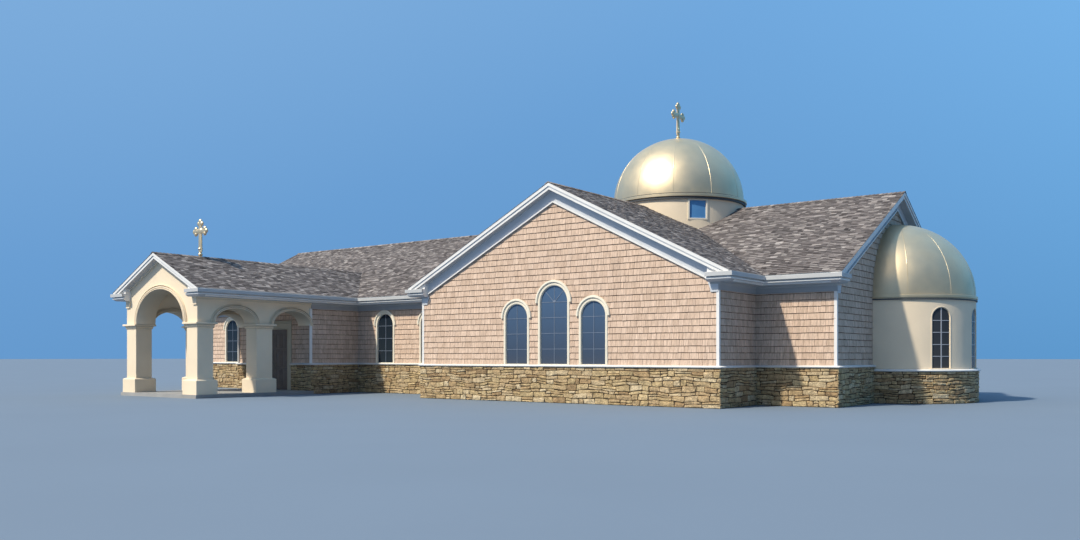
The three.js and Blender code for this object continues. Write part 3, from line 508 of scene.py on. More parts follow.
def lapped(rng, face, levels, span, openings, tone, widths, butt, top, joint, band, drop=0.0):
    """Lapped courses: each tab leans from its top, close to the face, out to its butt, with half a joint off each
    side. Its upper band, a share of its height, under the butt of the course above, has a tone of its own: on roof
    tabs the printed dark band of laminated shingles, on shakes a painted shade line under the butts.
    A dark strip lies under each course. Tone gives the tabs' tones, their bands' and how thick they are. Returns
    points, faces and tones."""
    us, vs, share = laid(rng, levels, span, openings, widths)
    count = len(us)
    tones, band_tones, thickness = tone(rng, count)
    us = us + np.minimum(joint, np.abs(us[:, [1, 0, 3, 2]] - us) * 0.4) / 2 * np.array([1, -1, -1, 1])
    vs = vs + np.where(share[:, :1] == 0, rng.uniform(-drop, drop, (count, 1)), 0) * np.array([1, 1, 0, 0])
    proud = butt * thickness[:, None]
    front = face.at(us, vs, top + (proud - top) * (1 - np.repeat(share, 2, axis=1)))
    upper, lower = front[:, [3, 2]], front[:, [0, 1]]
    split = upper + (lower - upper) * np.where(share[:, 1:] == 1, band, 0.01)[..., None]
    corners = np.concatenate([front, face.at(us, vs, 0.001), split, split, upper], axis=1)
    # tab, band, foot, right and left side: the course above covers each top
    pattern = np.array([[0, 1, 9, 8], [10, 11, 13, 12], [4, 5, 1, 0], [1, 5, 6, 2], [4, 0, 3, 7]])
    faces = (pattern[None] + 14 * np.arange(count)[:, None, None]).reshape(-1, 4)
    dark_us, dark_vs, _ = laid(rng, levels, span, openings, (99.0, 100.0))
    dark = face.at(dark_us, dark_vs, 0.002).reshape(-1, 3)
    dark_faces = np.arange(len(dark)).reshape(-1, 4) + 14 * count
    tab_tones = np.repeat(np.column_stack([tones, band_tones]), (10, 4), axis=1)
    return (np.vstack([corners.reshape(-1, 3), dark]), np.vstack([faces, dark_faces]),
            np.concatenate([tab_tones.ravel(), np.zeros(len(dark))]))


SHAKE_EXPOSURE, SHAKE_FOOT = 0.198, 1.232


def shake_tone(rng, count):
    """Tones near to each other, with a band tone that paints a dark line of shade under the butts above."""
    return rng.uniform(0.50, 1.0, count), rng.uniform(0.00, 0.20, count), rng.uniform(0.88, 1.12, count)


def shakes(rng, face, top, span, openings):
    """Wall shakes from the water table up to a height."""
    levels = np.append(np.arange(SHAKE_FOOT, top - 0.02, SHAKE_EXPOSURE), top)
    # the shakes' upper bands are painted shade under the butts above
    return lapped(rng, face, levels, span, openings, shake_tone, widths=(0.10, 0.30), butt=0.028, top=0.006,
                  joint=0.008, band=0.11, drop=0.004)


def wall_shakes(rng, face, length, openings=()):
    """Shakes on a wall under eaves."""
    return shakes(rng, face, UNDER_EAVES, lambda v: (0.0, length), openings)


def gable_shakes(rng, face, half, apex, openings):
    """Shakes on a gable: a course's ends stand off the middle by twice the height left to the apex."""
    def span(v):
        reach = max(0.0, min(half, (apex - v) * 2))
        return half - reach, half + reach

    return shakes(rng, face, apex, span, openings)


STONE_ALONG = np.array([0.0, 0.5, 1.0, 1.0, 1.0, 0.5, 0.0, 0.0])  # a stone's outline, as shares of its cell
STONE_UP = np.array([0.0, 0.0, 0.0, 0.5, 1.0, 1.0, 1.0, 0.5])
STONE_HEIGHTS, STONE_LENGTHS, STONE_PROUD = (0.088, 0.180), (0.15, 0.58), (0.012, 0.042)
SPLIT_SHARE, SPLIT_FROM = 0.38, 0.115  # how many cells are split, and from what height


def stones(rng, face, start, end, top):
    """Ledge stones: rows of uneven height that rise and fall by two sines of the distance along the wall, cut at
    uneven lengths, some cells split into two thin stones. Each stone's outline has eight points, drawn in from
    its cell by uneven joints and tilted a little. Its face rises over a chamfer to one off-centre point. A dark
    sheet lies behind the joints."""
    levels = np.append(0, np.cumsum(rng.uniform(*STONE_HEIGHTS, int(top / 0.090) + 3)))
    levels = np.append(levels[levels < top - 0.06], top)
    us, vs, _ = laid(rng, levels, lambda v: (start, end), (), STONE_LENGTHS)
    tall = vs[:, 2] - vs[:, 0]
    split = (rng.uniform(size=len(us)) < SPLIT_SHARE) & (tall > SPLIT_FROM)
    cut = vs[:, 0] + tall * rng.uniform(0.35, 0.65, len(us))
    lower, upper = vs.copy(), vs[split].copy()
    lower[split, 2:] = upper[:, :2] = cut[split, None]
    us, vs = np.vstack([us, us[split]]), np.vstack([lower, upper])
    count = len(us)
    wide, tall = us[:, 1:2] - us[:, :1], vs[:, 2:3] - vs[:, :1]
    inwards = np.sign(0.5 - STONE_ALONG), np.sign(0.5 - STONE_UP)
    joint = rng.uniform(0.001, 0.005 + 0.011 * np.abs(inwards[0] * inwards[1]), (2, count, 8))
    u = us[:, :1] + wide * STONE_ALONG + inwards[0] * joint[0]
    v = vs[:, :1] + tall * STONE_UP + inwards[1] * np.minimum(joint[1], 0.2 * tall)
    u += (inwards[0] == 0) * rng.uniform(-0.25, 0.25, (count, 8)) * wide
    u += rng.uniform(-0.2, 0.2, (count, 1)) * (STONE_UP - 0.5) * tall
    u = np.clip(u, start, end)
    share = v / top
    waves = np.sin(2 * np.pi * (u / 1.9 + share)) * 0.030 + np.sin(2 * np.pi * (u / 0.67 - share)) * 0.014
    v += waves * 4 * share * (1 - share)
    chamfer = rng.uniform(0.006, 0.018, (count, 8))
    inner_u, inner_v = u + inwards[0] * chamfer, v + inwards[1] * np.minimum(chamfer, 0.2 * tall)
    proud = rng.uniform(*STONE_PROUD, (count, 1))
    lifts = proud + rng.uniform(-0.010, 0.006, (count, 8))
    shift = rng.uniform(0.25, 0.75, (count, 2))
    peak_u = inner_u[:, 0] + (inner_u[:, 2] - inner_u[:, 0]) * shift[:, 0]
    peak_v = inner_v[:, 0] + (inner_v[:, 6] - inner_v[:, 0]) * shift[:, 1]
    peak = face.at(peak_u, peak_v, proud[:, 0] + rng.uniform(0.000, 0.012, count))
    corners = np.concatenate([face.at(inner_u, inner_v, lifts), face.at(u, v), peak[:, None]], axis=1)
    here, after = np.arange(8), np.roll(np.arange(8), -1)
    fan = np.column_stack([here, after, np.full(8, 16), np.full(8, -1)])
    pattern = np.vstack([fan, np.column_stack([here + 8, after + 8, after, here])])
    faces = np.where(pattern[None] < 0, -1, pattern[None] + 17 * np.arange(count)[:, None, None]).reshape(-1, 4)
    places = np.linspace(start + 0.01, end - 0.01, int((end - start) / 0.1) + 2)
    back, back_faces = sheet(np.stack([face.at(places, height, 0.004) for height in (0.0, top)]))
    tones = np.repeat(rng.uniform(0.12, 1.0, count), 17)
    return (np.vstack([corners.reshape(-1, 3), back]), np.vstack([faces, back_faces + 17 * count]),
            np.concatenate([tones, np.zeros(len(back))]))


# Walls: where each starts, and which way it runs as seen from outside
CLIP = 0.050  # shakes stop this far outside an opening, under its casing
UNDER_EAVES = 3.640
GABLE_TOP = RIDGE - ROOF_DEPTH
SIDE_OFFSET, NEAR_OFFSET, FAR_OFFSET = 1.540, 3.990, 6.500  # windows from the gable's and the portico's axis
EAST, NORTH, WEST, SOUTH = (1, 0), (0, 1), (-1, 0), (0, -1)
GABLE_WINDOWS = [(HALF - SIDE_OFFSET, SIDE_WINDOW), (HALF, MIDDLE_WINDOW), (HALF + SIDE_OFFSET, SIDE_WINDOW)]
NORTH_OFFSETS = (6.500, 3.990, 1.330, -1.330, -3.990, -6.500)
NAVE_WALLS = {  # face, length and the middles of its windows
    "nave_southwest": (Flat(WEST_END, -HALF, EAST), VESTIBULE_WEST - WEST_END,
                       [PORTICO_X - offset - WEST_END for offset in (FAR_OFFSET, NEAR_OFFSET)]),
    "nave_southeast": (Flat(VESTIBULE_EAST, -HALF, EAST), -HALF - VESTIBULE_EAST,
                       [PORTICO_X + offset - VESTIBULE_EAST for offset in (NEAR_OFFSET, FAR_OFFSET)]),
    "nave_north": (Flat(-HALF, HALF, WEST), -HALF - WEST_END,
                   [-HALF - PORTICO_X - offset for offset in NORTH_OFFSETS]),
}
GABLES = {
    "transept_south": Flat(-HALF, -ARM, EAST),
    "transept_north": Flat(HALF, ARM, WEST),
    "west": Flat(WEST_END, HALF, SOUTH),
    "east_arm": Flat(ARM, -HALF, NORTH),
}
SIDE_WALLS = {
    "transept_south": [Flat(-HALF, -HALF, SOUTH), Flat(HALF, -ARM, NORTH)],
    "transept_north": [Flat(HALF, HALF, NORTH), Flat(-HALF, ARM, SOUTH)],
    "west": [],
    "east_arm": [Flat(HALF, -HALF, EAST), Flat(ARM, HALF, WEST)],
}


def opening(centre, window):
    """Where courses stop round a window."""
    return Opening(centre, window["width"] / 2 + CLIP, window["top"] + CLIP)


rng = np.random.default_rng(20)

parts = [wall_shakes(rng, face, length, [opening(u, SIDE_WINDOW) for u in centres])
         for face, length, centres in NAVE_WALLS.values()]
piece("nave_shakes", parts, SHAKE)
apse_opening = ApseOpening(HALF, APSE_RADIUS - 0.01, APSE_RING_TOP + APSE_RADIUS - 0.01)
for name, face in GABLES.items():
    openings = [apse_opening] if name == "east_arm" else [opening(u, window) for u, window in GABLE_WINDOWS]
    parts = [gable_shakes(rng, face, HALF, GABLE_TOP, openings)]
    parts += [wall_shakes(rng, side, ARM - HALF) for side in SIDE_WALLS[name]]
    piece(f"{name}_shakes", parts, SHAKE)
door_opening = Opening(PORTICO_HALF, DOOR_WALL - 0.02, CASING_TOP - 0.02, rounded=False)
vestibule_sides = [Flat(VESTIBULE_WEST, -HALF, SOUTH), Flat(VESTIBULE_EAST, VESTIBULE, NORTH)]
parts = [wall_shakes(rng, side, -HALF - VESTIBULE) for side in vestibule_sides]
parts.append(gable_shakes(
    rng, Flat(VESTIBULE_WEST, VESTIBULE, EAST), PORTICO_HALF, PORTICO_RIDGE - ROOF_DEPTH, [door_opening]))
piece("vestibule_shakes", parts, SHAKE)

# Perimeter of the walls in plan, anticlockwise: from the door's east side to the apse, and back to its west side
EAST_RUN = [
    (PORTICO_X + DOOR_WALL, VESTIBULE), (VESTIBULE_EAST, VESTIBULE), (VESTIBULE_EAST, -HALF), (-HALF, -HALF),
    (-HALF, -ARM), (HALF, -ARM), (HALF, -HALF), (ARM, -HALF), (ARM, -APSE_RADIUS),
]
WEST_RUN = [
    (ARM, APSE_RADIUS), (ARM, HALF), (HALF, HALF), (HALF, ARM), (-HALF, ARM), (-HALF, HALF), (WEST_END, HALF),
    (WEST_END, -HALF), (VESTIBULE_WEST, -HALF), (VESTIBULE_WEST, VESTIBULE), (PORTICO_X - DOOR_WALL, VESTIBULE),
]
CORNER_WRAP = 0.026  # stones pass an outer corner by this much


def stone_parts(rng, corners):
    """Stones on each stretch of a perimeter, on the base's face, past its outer corners and up to its inner."""
    steps = np.diff(corners, axis=0)
    lengths = np.linalg.norm(steps, axis=1)
    steps /= lengths[:, None]
    turns = np.sign(np.cross(steps[:-1], steps[1:]))
    past = np.concatenate([[0], BASE_PROUD * turns + CORNER_WRAP * (turns > 0), [0]])
    parts = []
    for corner, step, length, before, after in zip(np.array(corners), steps, lengths, past, past[1:]):
        face = Flat(*(corner + BASE_PROUD * np.array([step[1], -step[0]])), step)
        parts.append(stones(rng, face, -before, length + after, BASE_TOP))
    return parts


piece("east_and_south_stones", stone_parts(rng, EAST_RUN), STONE)
piece("north_and_west_stones", stone_parts(rng, WEST_RUN), STONE)
apse_base = Round(ARM, APSE_RADIUS + BASE_PROUD, -90)
piece("apse_stones", [stones(rng, apse_base, 0.03, np.pi * apse_base.radius - 0.03, APSE_BASE_TOP)], STONE)

# Water table: a ledge with a drip, on top of the stone
LEDGE = [
    (0.0, BASE_TOP - 0.010), (0.108, BASE_TOP - 0.010), (0.112, BASE_TOP + 0.003), (0.132, BASE_TOP + 0.005),
    (0.136, BASE_TOP + 0.010), (0.136, BASE_TOP + 0.024), (0.130, BASE_TOP + 0.030), (0.034, 1.243), (0.0, 1.243),
]
apse_ledge = turned_about(ARM, 0, np.array(LEDGE) + [APSE_RADIUS, APSE_BASE_TOP - BASE_TOP], 64, -90, 90)
piece("water_table", [run(EAST_RUN, LEDGE), run(WEST_RUN, LEDGE), apse_ledge], TRIM, smooth=40)


# Friezes and gutters

def eaves_runs(half, arm, west, inner, portico):
    """Five paths round the plan, each along a stretch of eaves and a little way round onto its gables. Portico
    gives the path out from the nave's eaves, as distance from its axis and y."""
    portico = [(portico[0][0], -half), *portico]
    return [
        [(west, -inner), (west, -half), *((PORTICO_X - u, y) for u, y in portico)],
        [*((PORTICO_X + u, y) for u, y in portico[::-1]), (-half, -half), (-half, -arm), (-inner, -arm)],
        [(inner, -arm), (half, -arm), (half, -half), (arm, -half), (arm, -inner)],
        [(arm, inner), (arm, half), (half, half), (half, arm), (inner, arm)],
        [(-inner, arm), (-half, arm), (-half, half), (west, half), (west, inner)],
    ]


FRIEZE = [
    (0.0, 3.427), (0.042, 3.427), (0.048, 3.440), (0.038, 3.452), (0.038, 3.590), (0.052, 3.610), (0.064, 3.640),
    (0.064, SOFFIT), (0.0, SOFFIT),
]
FRIEZE_WRAP = 0.250
frieze_runs = eaves_runs(HALF, ARM, WEST_END, HALF - FRIEZE_WRAP, [(PORTICO_HALF, VESTIBULE)])
# the friezes under the eaves are painted dark grey as painted shade
piece("eaves_friezes", [run(path, FRIEZE) for path in frieze_runs], EAVES_SHADE_PAINT)

RAKE_FRIEZE_DEPTH = 0.393
BRACKET_FOOT, BRACKET_THICKNESS = 3.378, 0.045
BRACKET_EDGE = [(0.320, SOFFIT), (0.300, 3.600), (0.268, 3.520), (0.246, 3.440), (0.240, BRACKET_FOOT)]


def rake_frieze(face, half, apex, low, high, inner, thickness):
    """Two boards under a gable's rakes, between two heights below the apex, out to the boxed returns."""
    boards = []
    for side in (-1, 1):
        u = np.array([0.0, inner])
        top, bottom = apex - high - u / 2, apex - low - u / 2
        outline = np.column_stack([half + side * np.append(u, u[::-1]), np.append(bottom, top[::-1])])
        boards.append(board(face, outline[::side], 0.0, thickness))
    return boards


def brackets(face, half):
    """The cut ends of the friezes at a gable's corners: boards with a hollowed inner edge."""
    outline = np.array([(0.0, BRACKET_FOOT), (0.0, SOFFIT), *BRACKET_EDGE])
    return [board(face, (outline * [side, 1] + [corner, 0])[::-side], 0.0, BRACKET_THICKNESS)
            for corner, side in ((0.0, 1), (2 * half, -1))]


parts, beads = [], []
for face in GABLES.values():
    apex, depth = RIDGE - RAKE_DEPTH, RAKE_FRIEZE_DEPTH
    parts += rake_frieze(face, HALF, apex, depth, 0.0, HALF - RETURN_INNER + 0.1, 0.036)
    beads += rake_frieze(face, HALF, apex, depth, depth - 0.046, HALF - 0.28, 0.084)
    parts += brackets(face, HALF)
# the rake friezes and brackets are painted darker than the trim, as painted shade
piece("rake_friezes", parts, FRIEZE_SHADE_PAINT)
piece("rake_frieze_beads", beads, TRIM)

# Gutter lips: a deep folded edge that shades the cove under it, along every gutter and round onto the returns
GUTTER_LIP = [(-0.008, 3.806), (0.034, 3.803), (0.040, 3.809), (0.040, 3.921), (0.034, 3.930), (-0.008, 3.930)]
FRONT_LINE = PORTICO_FRONT - GABLE_REACH
portico_lip = [(PORTICO_HALF + EAVES_REACH, FRONT_LINE), (PORTICO_HALF - RETURN_INNER, FRONT_LINE)]
lip_runs = eaves_runs(
    HALF + EAVES_REACH, ARM + GABLE_REACH, WEST_END - GABLE_REACH, HALF - RETURN_INNER, portico_lip)
piece("gutter_lips", [run(path, GUTTER_LIP) for path in lip_runs], GUTTER_PAINT)

# Corner boards
CORNER_BOARD, CORNER_PROUD, BOARD_FOOT, BOARD_HEAD = 0.062, 0.029, 1.236, 3.430
FLANK_STRIP = np.array([5.055, 5.170])  # from the portico's front


def corner_board(x, y):
    """Two boards that meet at an outer corner, as one bent strip."""
    t, w = CORNER_PROUD, CORNER_BOARD
    plan = np.array([(w, 0), (w, -t), (-t, -t), (-t, w), (0, w), (0, 0)]) * -np.sign((x, y)) + (x, y)
    plan = plan[::-1] if x * y > 0 else plan
    return tube(np.stack([np.column_stack([plan, np.full(len(plan), z)]) for z in (BOARD_FOOT, BOARD_HEAD)]))


OUTER_CORNERS = [(-HALF, -ARM), (HALF, -ARM), (ARM, -HALF), (ARM, HALF), (HALF, ARM), (-HALF, ARM),
                 (WEST_END, HALF), (WEST_END, -HALF)]
parts = [corner_board(*corner) for corner in OUTER_CORNERS]
east_flank, west_flank = Flat(VESTIBULE_EAST, PORTICO_FRONT, NORTH), Flat(VESTIBULE_WEST, -HALF, SOUTH)
for face, ends in ((east_flank, FLANK_STRIP), (west_flank, -HALF - PORTICO_FRONT - FLANK_STRIP[::-1])):
    parts.append(board(face, oblong(*ends, BOARD_FOOT, BOARD_HEAD + 0.010), 0.0, 0.040))
piece("corner_boards", parts, TRIM)


# Windows

CASING_PROFILE = [(-0.004, -0.060), (0.080, -0.001), (0.080, 0.030), (0.066, 0.042), (0.010, 0.042), (-0.004, 0.034)]
HOOD_PROFILE = [(0.080, 0.0), (0.168, 0.0), (0.172, 0.052), (0.160, 0.078), (0.104, 0.084), (0.090, 0.066),
                (0.080, 0.058)]
APSE_CASING = [(-0.004, -0.060), (0.036, -0.001), (0.036, 0.006), (0.030, 0.010), (0.004, 0.010), (-0.004, 0.004)]
SASH_PROFILE = [(-0.016, -0.050), (0.0, -0.050), (0.0, -0.008), (-0.010, -0.012), (-0.016, -0.020)]
SASH_LIFT, PANE_INSET, PANE_THICKNESS, BAR_THICKNESS = -0.026, 0.012, 0.012, 0.010
WALL_STYLE = dict(casing=CASING_PROFILE, hood=HOOD_PROFILE, proud=0.050, level=0.015, upright=0.015)
APSE_STYLE = dict(casing=APSE_CASING, hood=None, proud=0.040, level=0.022, upright=0.036)


def arch_path(centre, half, spring, rise, foot, steps):
    """Round an arch with a half-ellipse head, from the right foot over the top to the left, with its normals."""
    turn = np.linspace(0, np.pi, steps + 1)
    path = np.column_stack([centre + half * np.cos(turn), spring + rise * np.sin(turn)])
    outs = np.column_stack([rise * np.cos(turn), half * np.sin(turn)])
    outs /= np.linalg.norm(outs, axis=1, keepdims=True)
    path = np.vstack([[centre + half, foot], path, [centre - half, foot]])
    return path, np.vstack([[1.0, 0.0], outs, [-1.0, 0.0]])


def window_path(centre, window, below=None):
    """Round a window's round head, down to its sill or to a distance below the spring."""
    half = window["width"] / 2
    spring = window["top"] - half
    return arch_path(centre, half, spring, half, window["sill"] if below is None else spring - below, 28)


def head_at(window, u):
    """Height of a window's head at a distance from its middle: square on the drum, a half circle elsewhere."""
    half = window["width"] / 2
    if window is DRUM_WINDOW:
        return np.full_like(u, window["top"])
    return window["top"] - half + np.sqrt(np.maximum(half**2 - u**2, 0))


def pane(face, centre, window):
    """A sheet of glass that fills an arched opening: its upper edge is the arch, its columns bunch at the sides."""
    half = window["width"] / 2 - PANE_INSET
    u = -half * np.cos(np.linspace(0, np.pi, 25))
    head = window["top"] - window["width"] / 2 + np.sqrt(np.maximum(half**2 - u**2, 0))
    grids = [np.stack([face.at(centre + u, v, lift) for v in (window["sill"] + PANE_INSET / 2, head)])
             for lift in (SASH_LIFT, SASH_LIFT - PANE_THICKNESS)]
    return [sheet(grids[0]), sheet(grids[1], turned=True)]


def window_bars(face, centre, window, level, upright):
    """Slim bars in front of the glass: one upright, several level, and rays in a large round head."""
    back, front = SASH_LIFT - 0.002, SASH_LIFT + BAR_THICKNESS
    level = oblong(-level / 2, level / 2, back, front)
    upright = oblong(-upright / 2, upright / 2, back, front + 0.001)
    half = window["width"] / 2 - 0.010
    spring = window["top"] - window["width"] / 2
    rays = window is MIDDLE_WINDOW
    bars = []
    for height in window["bars"]:
        side = np.sqrt(half**2 - max(0.0, height - spring) ** 2)
        bars.append(strip(face, (centre - side, height), (centre + side, height), level))
    bars.append(strip(face, (centre, window["sill"]), (centre, spring if rays else spring + half), upright))
    if rays:
        hub = np.array([centre, spring])
        for angle in np.radians([45, 90, 135]):
            along = np.array([np.cos(angle), np.sin(angle)])
            bars.append(strip(face, hub + 0.05 * along, hub + half * along, level))
        turn = np.linspace(0, np.pi, 13)
        bars.append(board(face, hub + 0.06 * np.column_stack([np.cos(turn), np.sin(turn)]), back, front + 0.002))
    return bars


def dress_windows(name, places, glazing, style=WALL_STYLE, paint=CASING, bar_paint=BARS, smooth=None):
    """Casings, sashes, hood moulds, sloped sills, bars and glass of the windows of one wall, each of them given
    as its face, middle and window."""
    casings, bars, glass = [], [], []
    for face, centre, window in places:
        casings += [on_face(face, *window_path(centre, window), each) for each in (style["casing"], SASH_PROFILE)]
        if style["hood"]:
            casings.append(on_face(face, *window_path(centre, window, 0.012), style["hood"]))
        half, sill, proud = window["width"] / 2 + 0.082, window["sill"], style["proud"]
        profile = [(-0.012, -0.050), (0.030, -0.050), (0.022, proud), (0.004, proud)]
        casings.append(strip(face, (centre - half, sill), (centre + half, sill), profile))
        bars += window_bars(face, centre, window, style["level"], style["upright"])
        glass += pane(face, centre, window)
    piece(f"{name}_window_casings", casings, paint, smooth=50)
    piece(f"{name}_window_bars", bars, bar_paint)
    piece(f"{name}_window_panes", glass, glazing, smooth=smooth, replaces=[f"{name}_window_glass"])


for name, (face, _, centres) in NAVE_WALLS.items():
    dress_windows(name, [(face, u, SIDE_WINDOW) for u in centres], EAVES_GLASS)
for name in ("transept_south", "transept_north", "west"):
    dress_windows(name, [(GABLES[name], u, window) for u, window in GABLE_WINDOWS], GLASS)


# Apse and drum: smooth round walls with their windows

def pierced(face, start, end, foot, top, centres, window, turned):
    """A wall's sheets between two heights, in columns: full height between the windows, and below the sill and
    above the head of each."""
    half = window["width"] / 2
    edges = [start, *(centre + side * half for centre in centres for side in (-1, 1)), end]
    columns = []
    for low, high in zip(edges[::2], edges[1::2]):
        columns.append((np.linspace(low, high, max(2, int((high - low) / 0.06) + 1)), foot, top))
    across = -half * np.cos(np.linspace(0, np.pi, 25))
    for centre in centres:
        u = centre + across
        columns += [(u, foot, window["sill"]), (u, head_at(window, u - centre), top)]
    return [sheet(np.stack([face.at(u, low), face.at(u, high)]), turned=turned) for u, low, high in columns]


def round_wall(x, radius, thickness, ends, foot, top, window, angles):
    """Both faces of a round wall between two angles, and through it each window's outline carried from the face
    to the back."""
    parts = []
    for face, turned in ((Round(x, radius), False), (Round(x, radius - thickness), True)):
        centres = [np.radians(angle) * face.radius for angle in angles]
        parts += pierced(face, *(np.radians(ends) * face.radius), foot, top, centres, window, turned)
    half, low, high = window["width"] / 2, window["sill"], window["top"]
    for angle in angles:
        if window is DRUM_WINDOW:
            path = np.array([(half, low), (half, high), (-half, high), (-half, low)])
        else:
            path, _ = window_path(0.0, window)
        face = Round(x, radius, angle)
        parts.append(sheet(np.stack([face.at(*path.T, lift) for lift in (0.0, -thickness)]), around=True))
    return parts


apse_walls = [f"apse_{side}_wall" for side in ("south", "east", "north")]
parts = round_wall(ARM, APSE_RADIUS, APSE_WALL, (-90, 90), APSE_BASE_TOP, APSE_RING_BOTTOM, APSE_WINDOW,
                   APSE_WINDOW_ANGLES)
piece("apse_stucco_wall", parts, STUCCO, smooth=30, replaces=apse_walls)
places = [(Round(ARM, APSE_RADIUS, angle), 0.0, APSE_WINDOW) for angle in APSE_WINDOW_ANGLES]
dress_windows("apse", places, APSE_GLASS, APSE_STYLE, STUCCO, PALE_BARS, smooth=30)

DRUM_FRAME = [(-0.030, -0.050), (0.038, -0.001), (0.038, 0.022), (0.028, 0.030), (-0.022, 0.030), (-0.030, 0.022)]
parts = round_wall(0, DRUM_RADIUS, DRUM_WALL, (0, 360), DRUM_FOOT, RING_BOTTOM, DRUM_WINDOW, DRUM_WINDOW_ANGLES)
half, low, high = DRUM_WINDOW["width"] / 2, DRUM_WINDOW["sill"], DRUM_WINDOW["top"]
frames, glass = [], []
for angle in DRUM_WINDOW_ANGLES:
    face = Round(0, DRUM_RADIUS, angle)
    frames.append(framed(face, -half, half, low, high, DRUM_FRAME))
    u = np.linspace(-half, half, 9)
    for lift, turned in ((-0.030, False), (-0.042, True)):
        glass.append(sheet(np.stack([face.at(u, v, lift) for v in (low, high)]), turned=turned))
piece("drum_stucco_wall", parts, STUCCO, smooth=30, replaces=["drum_wall"])
piece("drum_window_frames", frames, CASING, smooth=30)
piece("drum_window_panes", glass, DRUM_GLASS_PAINTED_SKY, smooth=30, replaces=["drum_window_glass"])

# Domes: gores of sheet metal with raised seams, each over a cornice with a flat band, and dark rings of painted
# shadow under the band and at the dome's foot
SEAM_STEP = 360 / 11
SEAM_WIDTH = SEAM_HEIGHT = 0.007
SEAM_COLUMNS = np.array([-0.0056, -0.0028, 0, 0.0028, 0.0056])  # radians either side of a seam
DOME_ROWS = 44


def dome_shell(x, radius, foot, first, last, seams):
    """A half ball: radius times the cosine and sine of a rising angle, raised by a rounded rib near each seam.
    The rib keeps its width, and fades where the seams crowd together at the top."""
    rise = np.radians(np.linspace(0, 90, DOME_ROWS + 1))[:-1, None]
    turn = np.radians(np.linspace(first, last, int((last - first) / 1.25) + 1))
    near = np.concatenate([np.radians(seam) + SEAM_COLUMNS for seam in seams])
    turn = np.unique(np.concatenate([turn, near[(near > np.radians(first)) & (near < np.radians(last))]]))
    across = np.abs(turn[:, None] - np.radians(seams)[None]).min(axis=1)[None] * radius * np.cos(rise)
    rib = SEAM_HEIGHT * np.clip(1 - across / SEAM_WIDTH, 0, 1) * np.clip((np.radians(64) - rise) / 0.3, 0, 1)
    reach, height = (radius + rib) * np.cos(rise), foot + (radius + rib) * np.sin(rise)
    points, faces = sheet(np.stack([x + reach * np.cos(turn), reach * np.sin(turn), height], -1))
    last_row = np.arange(len(turn)) + (DOME_ROWS - 1) * len(turn)
    caps = np.stack([last_row[:-1], last_row[1:], np.full(len(turn) - 1, len(points))], -1)
    return np.vstack([points, [[x, 0.0, foot + radius]]]), np.vstack([faces, filled(caps, 4)])


def cornice(lip, wall_radius, bottom, top, dome_radius):
    """Profile of a dome's foot: a groove under the dome, a flat band with eased edges, and a set-back under it."""
    tall, inner, outer = top - bottom, wall_radius - 0.02, wall_radius + 0.012
    return [
        (inner, bottom), (outer, bottom), (outer, top - 0.60 * tall), (lip - 0.010, top - 0.58 * tall),
        (lip, top - 0.53 * tall), (lip, top - 0.10 * tall), (lip - 0.010, top - 0.05 * tall),
        (dome_radius + 0.003, top - 0.03 * tall), (dome_radius + 0.003, top + 0.03), (dome_radius - 0.03, top + 0.03),
        (inner, top + 0.03),
    ]


def shadow_gap_ring(inner, outer, low, high):
    """Profile of a ring of painted shadow: a plain dark oblong from just behind the face it stands on, where the
    cornice's shade falls.
    """
    return oblong(inner - 0.01, outer, low, high)


seams = [*(SEAM_STEP * index for index in range(11)), 360.0]
dome = dome_shell(0.0, DOME_RADIUS, RING_TOP, 0.0, 360.0, seams)
piece("gold_dome", [dome], GOLD, smooth=40, replaces=["dome"])
ring_profile = cornice(RING_RADIUS, DRUM_RADIUS, RING_BOTTOM, RING_TOP, DOME_RADIUS)
piece("gold_dome_cornice", [turned_about(0, 0, ring_profile, 144)], GOLD, smooth=35, replaces=["dome_cornice"])
apse_seams = [-65.45, -32.73, 0.0, 32.73, 65.45]
half_dome = dome_shell(ARM, APSE_RADIUS, APSE_RING_TOP, -90.0, 90.0, apse_seams)
piece("gold_apse_dome", [half_dome], GOLD, smooth=40, replaces=["apse_half_dome"])
# rings of painted shadow under the cornices' bands and at the dome's foot
painted_shadow_rings = [
    turned_about(0, 0, shadow_gap_ring(DRUM_RADIUS, RING_RADIUS - 0.035, RING_BOTTOM - 0.004, RING_BOTTOM + 0.070), 144),
    turned_about(0, 0, shadow_gap_ring(DOME_RADIUS, DOME_RADIUS + 0.007, RING_TOP - 0.008, RING_TOP + 0.034), 144),
    turned_about(ARM, 0, shadow_gap_ring(APSE_RADIUS, APSE_RING_RADIUS - 0.012, APSE_RING_BOTTOM - 0.004,
                                    APSE_RING_BOTTOM + 0.040), 72, -90, 90),
]
piece("cornice_painted_shadows", painted_shadow_rings, SHADOW_GAP_PAINT, smooth=35)
apse_ring = cornice(APSE_RING_RADIUS, APSE_RADIUS, APSE_RING_BOTTOM, APSE_RING_TOP, APSE_RADIUS)
piece("gold_apse_cornice", [turned_about(ARM, 0, apse_ring, 72, -90, 90)], GOLD, smooth=35, replaces=["apse_cornice"])


# Crosses with budded ends

STEM_FOOT, LIMB_DEPTH, LIMB_HALF, LIMB_END = 0.200, 0.052, 0.104, 0.116
BUD, BUD_DEPTH, BUD_OFFSET, HUB, HUB_DEPTH = 0.096, 0.058, 0.092, 0.145, 0.064
KNOBS = [
    (0.0, -0.004), (0.085, -0.004), (0.092, 0.010), (0.064, 0.028), (0.050, 0.040), (0.078, 0.062), (0.088, 0.094),
    (0.078, 0.126), (0.052, 0.148), (0.046, 0.166), (0.060, 0.200), (0.044, 0.216), (0.044, 0.270), (0.078, 0.290),
    (0.090, 0.318), (0.078, 0.346), (0.050, 0.366), (0.0, 0.372),
]


